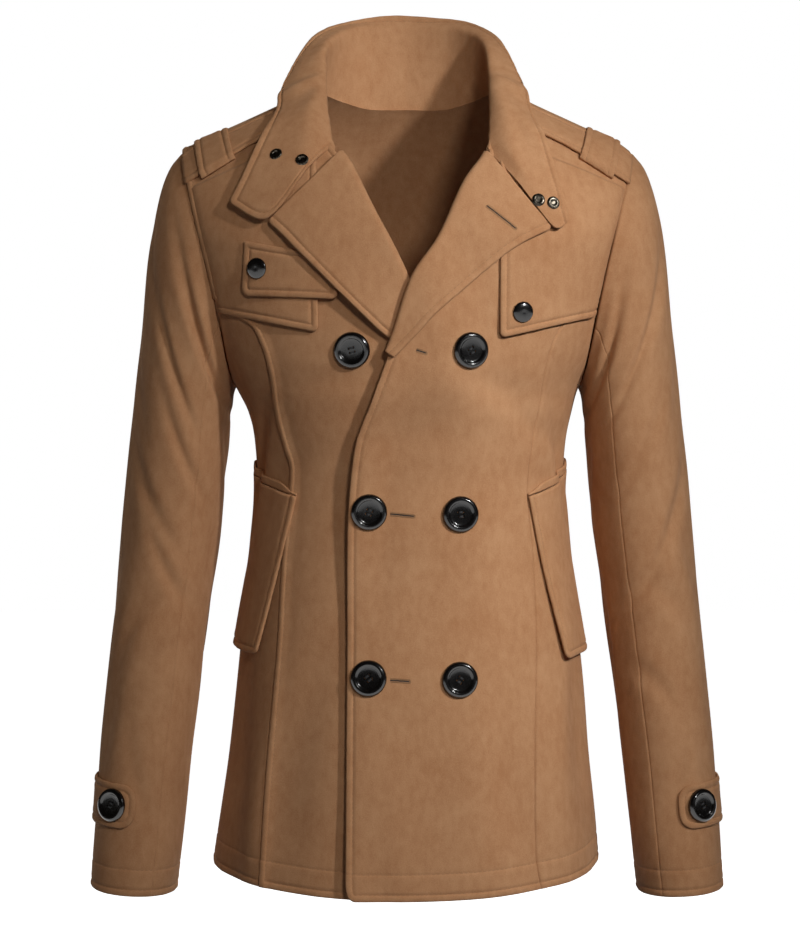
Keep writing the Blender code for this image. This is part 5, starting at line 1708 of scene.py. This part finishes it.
kinds = {"coat": coat_button(BIG_BUTTON), "cuff": coat_button(CUFF_BUTTON)}
kinds |= {"flap": flap_button(FLAP_BUTTON), "snap": snap_ring(SNAP)}
print("blanks:", {kind: len(mesh.polygons) for kind, mesh in kinds.items()})

# %% [markdown]
# ## Setting them on
#
# A button lies on its cloth in the cloth's own direction, not in the room's. So the cloth's surface is
# asked for a few points where the button goes: their cross product gives the direction, and the highest of
# them how far out it rests. Moving the copies by hand would look right from the front only.

# %% Setting buttons and snaps
CLEAR_OF_CLOTH = 0.7  # how much of the cloth's unevenness a button clears: it sinks a little into the nap


def set_on(node_name, kind, point, normal, spin, slot):
    """Puts a copy of a blank with its back at a point of the cloth, and in the place of its solid."""
    mesh = kinds[kind].copy()
    normal = Vector(normal).normalized()
    turn = normal.to_track_quat("Z", "Y").to_matrix().to_4x4() @ Matrix.Rotation(math.radians(spin), 4, "Z")
    mesh.transform(Matrix.Translation(Vector(point) * MM) @ turn)
    obj = bpy.data.objects.new(f"{node_name}_turned", mesh)
    bpy.context.scene.collection.objects.link(obj)
    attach(obj, "root")
    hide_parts(node_name)


def on_front(x, z, out, size, lap):
    """Where a button rests on the front and which way it faces, with or without the overlap beneath it."""
    reach = size / 3
    x, z = x + np.array((0, reach, -reach, 0, 0)), z + np.array((0, 0, 0, reach, -reach))
    out = out + (lap_out(x, z) if lap else 0 * x)
    points = body(*facing(x, z), out)
    normal = unit(np.cross(points[1] - points[2], points[3] - points[4]))
    rise = np.max((points - points[0]) @ normal) * CLEAR_OF_CLOTH + 0.1
    return points[0] + normal * rise, normal


print("a button clears", CLEAR_OF_CLOTH, "of the unevenness of the cloth beneath it")

# %% Their places
BIG_BUTTONS = (
    # name, x, z, on the overlap or not, and how far it is turned
    ("right_1", -48, -221.5, False, 15), ("right_2", -32.5, -364, True, -20),
    ("right_3", -33, -509.5, True, 40), ("left_1", 55, -221.5, True, 30),
    ("left_2", 46.5, -366, True, 5), ("left_3", 46, -511, True, -35),
)
FLAP_BUTTONS = (("right", -129, -149.5, TAB_OUT + 0.9), ("left", 100, -188, FLAP_OUT + 1.8))
CUFF_BUTTON_AT = 61.0  # degrees round the arm
SNAPS = (("right_1", -116.6, -50), ("right_2", -89, -56.5), ("left_1", 129, -94), ("left_2", 114.5, -90))

for name, x, z, over, spin in BIG_BUTTONS:
    set_on(f"button_{name}", "coat", *on_front(x, z, 0, BIG_BUTTON, over), spin, "horn")
for hand, x, z, out in FLAP_BUTTONS:
    set_on(f"flap_button_{hand}", "flap", *on_front(x, z, out, FLAP_BUTTON, False), 0, "horn")
for side, hand in ((-1, "right"), (1, "left")):
    at = np.array((CUFF_BUTTON_AT,)), np.array((sum(TAB_ROWS) / 2 - 0.03,))
    point = sleeve(*at, side, np.array((TAB_LIFT + 0.1,)))[0]
    normal = unit(sleeve(*at, side, np.array((TAB_LIFT + 1.1,)))[0] - point)
    set_on(f"cuff_button_{hand}", "cuff", point - normal * 0.2, normal, 25 * side, "horn")

outer, _, normals = PIECES["collar"]["patch"].grid()
first_row = len(outer) // 3  # the snaps are on the leaf, not on the stand
leaf, directions = outer[first_row:], normals[first_row:]
for name, x, z in SNAPS:
    flat = np.linalg.norm(leaf[..., (0, 2)] - np.array((x, z)), axis=-1)
    nearest = np.unravel_index(np.argmin(flat), flat.shape)
    set_on(f"snap_{name}", "snap", leaf[nearest], directions[nearest], 0, "nickel")
print("set:", len(BIG_BUTTONS), "coat buttons, 2 flap buttons, 2 cuff buttons, 4 snaps")

# %% [markdown]
# ## Sewing
#
# A machine stitch is a short bar of thread that dips into the cloth at both ends. A picture of stitches on
# the cloth would do from afar, but it has no edge to catch the light. So each is a small capsule here, laid
# on the bottom of its groove, with a gap where the needle went in. A capsule has only a few faces, because
# there are thousands, and all the stitches of a piece are one mesh.

# %% Stitches
STITCH = 3.3  # length of one stitch
STITCH_PITCH = 4.1
THREAD_RADIUS = 0.27
DIP = 0.28  # how deep a stitch's ends go in
# A capsule's rings: places along the stitch, and the radius there as a share.
CAPSULE_ENDS = ((-0.5, 0.0), (-0.42, 0.75), (-0.2, 1.0), (0.2, 1.0), (0.42, 0.75), (0.5, 0.0))
CAPSULE_SIDES = 6


def stitches_along(points, normals, lengths=STITCH, pitch=STITCH_PITCH):
    """Middle, direction and upward direction of each stitch along a line on the cloth."""
    run = np.concatenate([[0], np.cumsum(np.linalg.norm(np.diff(points, axis=0), axis=-1))])
    count = int(run[-1] / pitch)
    if count < 1:
        return np.zeros((0, 3, 3))
    middles = (np.arange(count) + 0.5) * run[-1] / count

    def read(at, values):
        return np.stack([np.interp(at, run, values[:, k]) for k in range(3)], axis=-1)

    start, end = read(middles - lengths / 2, points), read(middles + lengths / 2, points)
    return np.stack([(start + end) / 2, end - start, unit(read(middles, normals))], axis=1)


print("a stitch:", STITCH, "mm of thread every", STITCH_PITCH, "mm")

# %% One mesh for all the stitches of a piece
def stitch_mesh(name, stitches, radius=THREAD_RADIUS):
    """Capsules of thread. stitches holds a middle, a direction and an upward direction for each."""
    middle, along, up = stitches[:, 0], stitches[:, 1], stitches[:, 2]
    aside = unit(np.cross(along, up))
    up = unit(np.cross(aside, along))
    ring = np.arange(CAPSULE_SIDES) * 2 * math.pi / CAPSULE_SIDES
    points = []
    for share, fat in CAPSULE_ENDS:
        dip = -DIP * abs(share * 2) ** 3
        for angle in ring if fat > 0 else ring[:1]:
            across = aside * (math.cos(angle) * radius * fat) + up * (math.sin(angle) * radius * fat + dip)
            points.append(middle + along * share + across)
    points = np.stack(points, axis=1)
    count, size = len(stitches), points.shape[1]
    faces, first = [], 1
    for part in range(len(CAPSULE_ENDS) - 3):
        for k in range(CAPSULE_SIDES):
            a, b = first + k, first + (k + 1) % CAPSULE_SIDES
            faces.append((a, b, b + CAPSULE_SIDES, a + CAPSULE_SIDES))
        first += CAPSULE_SIDES
    ends = []
    for k in range(CAPSULE_SIDES):
        ends.append((0, 1 + (k + 1) % CAPSULE_SIDES, 1 + k))
        ends.append((size - 1, first + k, first + (k + 1) % CAPSULE_SIDES))
    every = []
    for index in range(count):
        every += [[corner + index * size for corner in face] for face in faces + ends]
    mesh = bpy.data.meshes.new(name)
    mesh.from_pydata((points.reshape(-1, 3) * MM).tolist(), [], every)
    mesh.shade_smooth()
    mesh.materials.append(THREAD)
    obj = bpy.data.objects.new(name, mesh)
    bpy.context.scene.collection.objects.link(obj)
    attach(obj, "root")
    return obj


print("rings of a stitch:", len(CAPSULE_ENDS), "with", CAPSULE_SIDES, "sides")

# %% Which lines are sewn
def side_run(side, inset, starts=0.0, ends=0.0):
    """A line along one side of a piece, `inset` in from it: where it starts and where it ends."""
    if side in ("left", "right"):
        across = (0, inset) if side == "left" else (1, -inset)
        return (across, (0, starts)), (across, (1, -ends))
    down = (0, inset) if side == "top" else (1, -inset)
    return ((0, starts), down), ((1, -ends), down)


def sewn_sides(patch):
    """Every line of edge stitching of a piece, and its hem's second line."""
    stitched = [side for side in patch.edges if patch.edges[side] in SEWN_EDGES]
    for side in stitched:
        crossing = ("top", "bottom") if side in ("left", "right") else ("left", "right")
        starts, ends = (STITCH_INSET if end in stitched else 1.0 for end in crossing)
        yield side_run(side, STITCH_INSET, starts, ends)
        if patch.edges[side] == "hem":
            yield side_run(side, HEM_INSET, starts, ends)


print("lines on the back:", len(list(sewn_sides(PIECES["back"]["patch"]))))

# %% [markdown]
# ## Buttonholes
#
# A buttonhole is a slit whose lips are bound with short stitches side by side, and a fan of them at the end
# that takes the button's pull. The same stitches work here, laid across the slit's line and not along it.
# The slit is a thin black ribbon on the uncut wool, painted shade: a cut would leave ragged edges no one
# would see.

# %% Worked buttonholes
# On the front: where each slit starts and ends, as x and z.
BUTTONHOLES = (
    ((-14.5, -365.5), (6, -367.5)), ((-14.5, -511), (2, -512)), ((8, -221), (16, -223.5)),
)
# On the lapel the slit follows the leaf, so it is drawn on the piece itself: shares across and down.
LAPEL_HOLE = ((0.485, 0.185), (0.845, 0.15))
LIP = 1.2  # a lip's stitches lie this far from the slit
# the black ribbon that is painted shade in a slit: half its width, and its thickness
SLIT_HALF, SLIT_THICK = 0.42, 0.5
FAN = np.radians(np.linspace(-80, 80, 7))  # the stitches round the end
HOLE_STITCH = 2.2
HOLE_PITCH = 0.62


def worked_hole(points, normals):
    """Short stitches side by side across a slit, for both of its lips and round its end."""
    along = unit(np.gradient(points, axis=0))
    aside = np.cross(normals, along)
    found = []
    for lip in (-1, 1):
        stitches = stitches_along(points + aside * lip * LIP, normals, 1.0, HOLE_PITCH)
        middle, direction, up = np.moveaxis(stitches, 1, 0)
        across = unit(np.cross(up, direction)) * HOLE_STITCH
        found.append(np.stack([middle, across, up], axis=1))
    for angle in FAN:
        way = along[-1] * math.cos(angle) + aside[-1] * math.sin(angle)
        found.append(np.stack([points[-1] + way * LIP, way * HOLE_STITCH, normals[-1]])[None])
    return np.concatenate(found)


def slit(points, normals, name):
    """Painted shade for the opening between the lips: a thin flat black ribbon with closed sides."""
    aside = unit(np.cross(normals, unit(np.gradient(points, axis=0)))) * SLIT_HALF
    outer = np.stack([points - aside, points + aside], axis=1) + normals[:, None] * SLIT_THICK / 2
    inner = outer - normals[:, None] * SLIT_THICK
    # the black thread's finish here is painted shade for the opening
    obj = closed_wall(name, outer, inner, BUTTON_THREAD_AND_SLIT_SHADE)
    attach(obj, "root")
    return obj


def work_hole(piece, name, line, normals):
    """Keeps a buttonhole's stitches and its ribbon of painted slit shade with the piece that it is worked
    in.
    """
    piece.setdefault("holes", []).append(worked_hole(line, normals))
    piece.setdefault("painted_slit_shades", []).append(slit(line, normals, name))


share = np.linspace(0, 1, 41)
for count, (start, end) in enumerate(BUTTONHOLES):
    x, z = start[0] + (end[0] - start[0]) * share, start[1] + (end[1] - start[1]) * share
    out = lap_out(x, z)
    line = body(*facing(x, z), out + 0.1)
    normals = unit(body(*facing(x, z), out + 1.1) - line)
    work_hole(PIECES["front_centre_left"], f"buttonhole_{count + 1}", line, normals)

(u0, v0), (u1, v1) = LAPEL_HOLE
line, normals = PIECES["lapel_left"]["patch"].line(((u0, 0), (v0, 0)), ((u1, 0), (v1, 0)))
work_hole(PIECES["lapel_left"], "buttonhole_lapel", line, normals)
print("buttonholes:", len(BUTTONHOLES) + 1)

# %% Sew every piece
total = 0
for name, piece in PIECES.items():
    runs = [stitches_along(*piece["patch"].line(start, end)) for start, end in sewn_sides(piece["patch"])]
    runs += piece.get("holes", [])
    if not runs:
        continue
    stitches = np.concatenate(runs)
    piece["stitches"] = (stitch_mesh(f"{name}_stitches", stitches), *piece.get("painted_slit_shades", ()))
    total += len(stitches)
print("stitches:", total)

# %% [markdown]
# ## The cut
#
# Cloth is cut flat before it is sewn. Each piece here knows its own lengths, so its flat size is measured
# and not guessed: how wide and long it is along the cloth, what area it covers, how it is held and what it
# rests on.

# %% Sheets
whole = sum(piece["area"] for piece in PIECES.values())
print(f"{len(PIECES)} sheets, {whole:.3f} square metres in all")
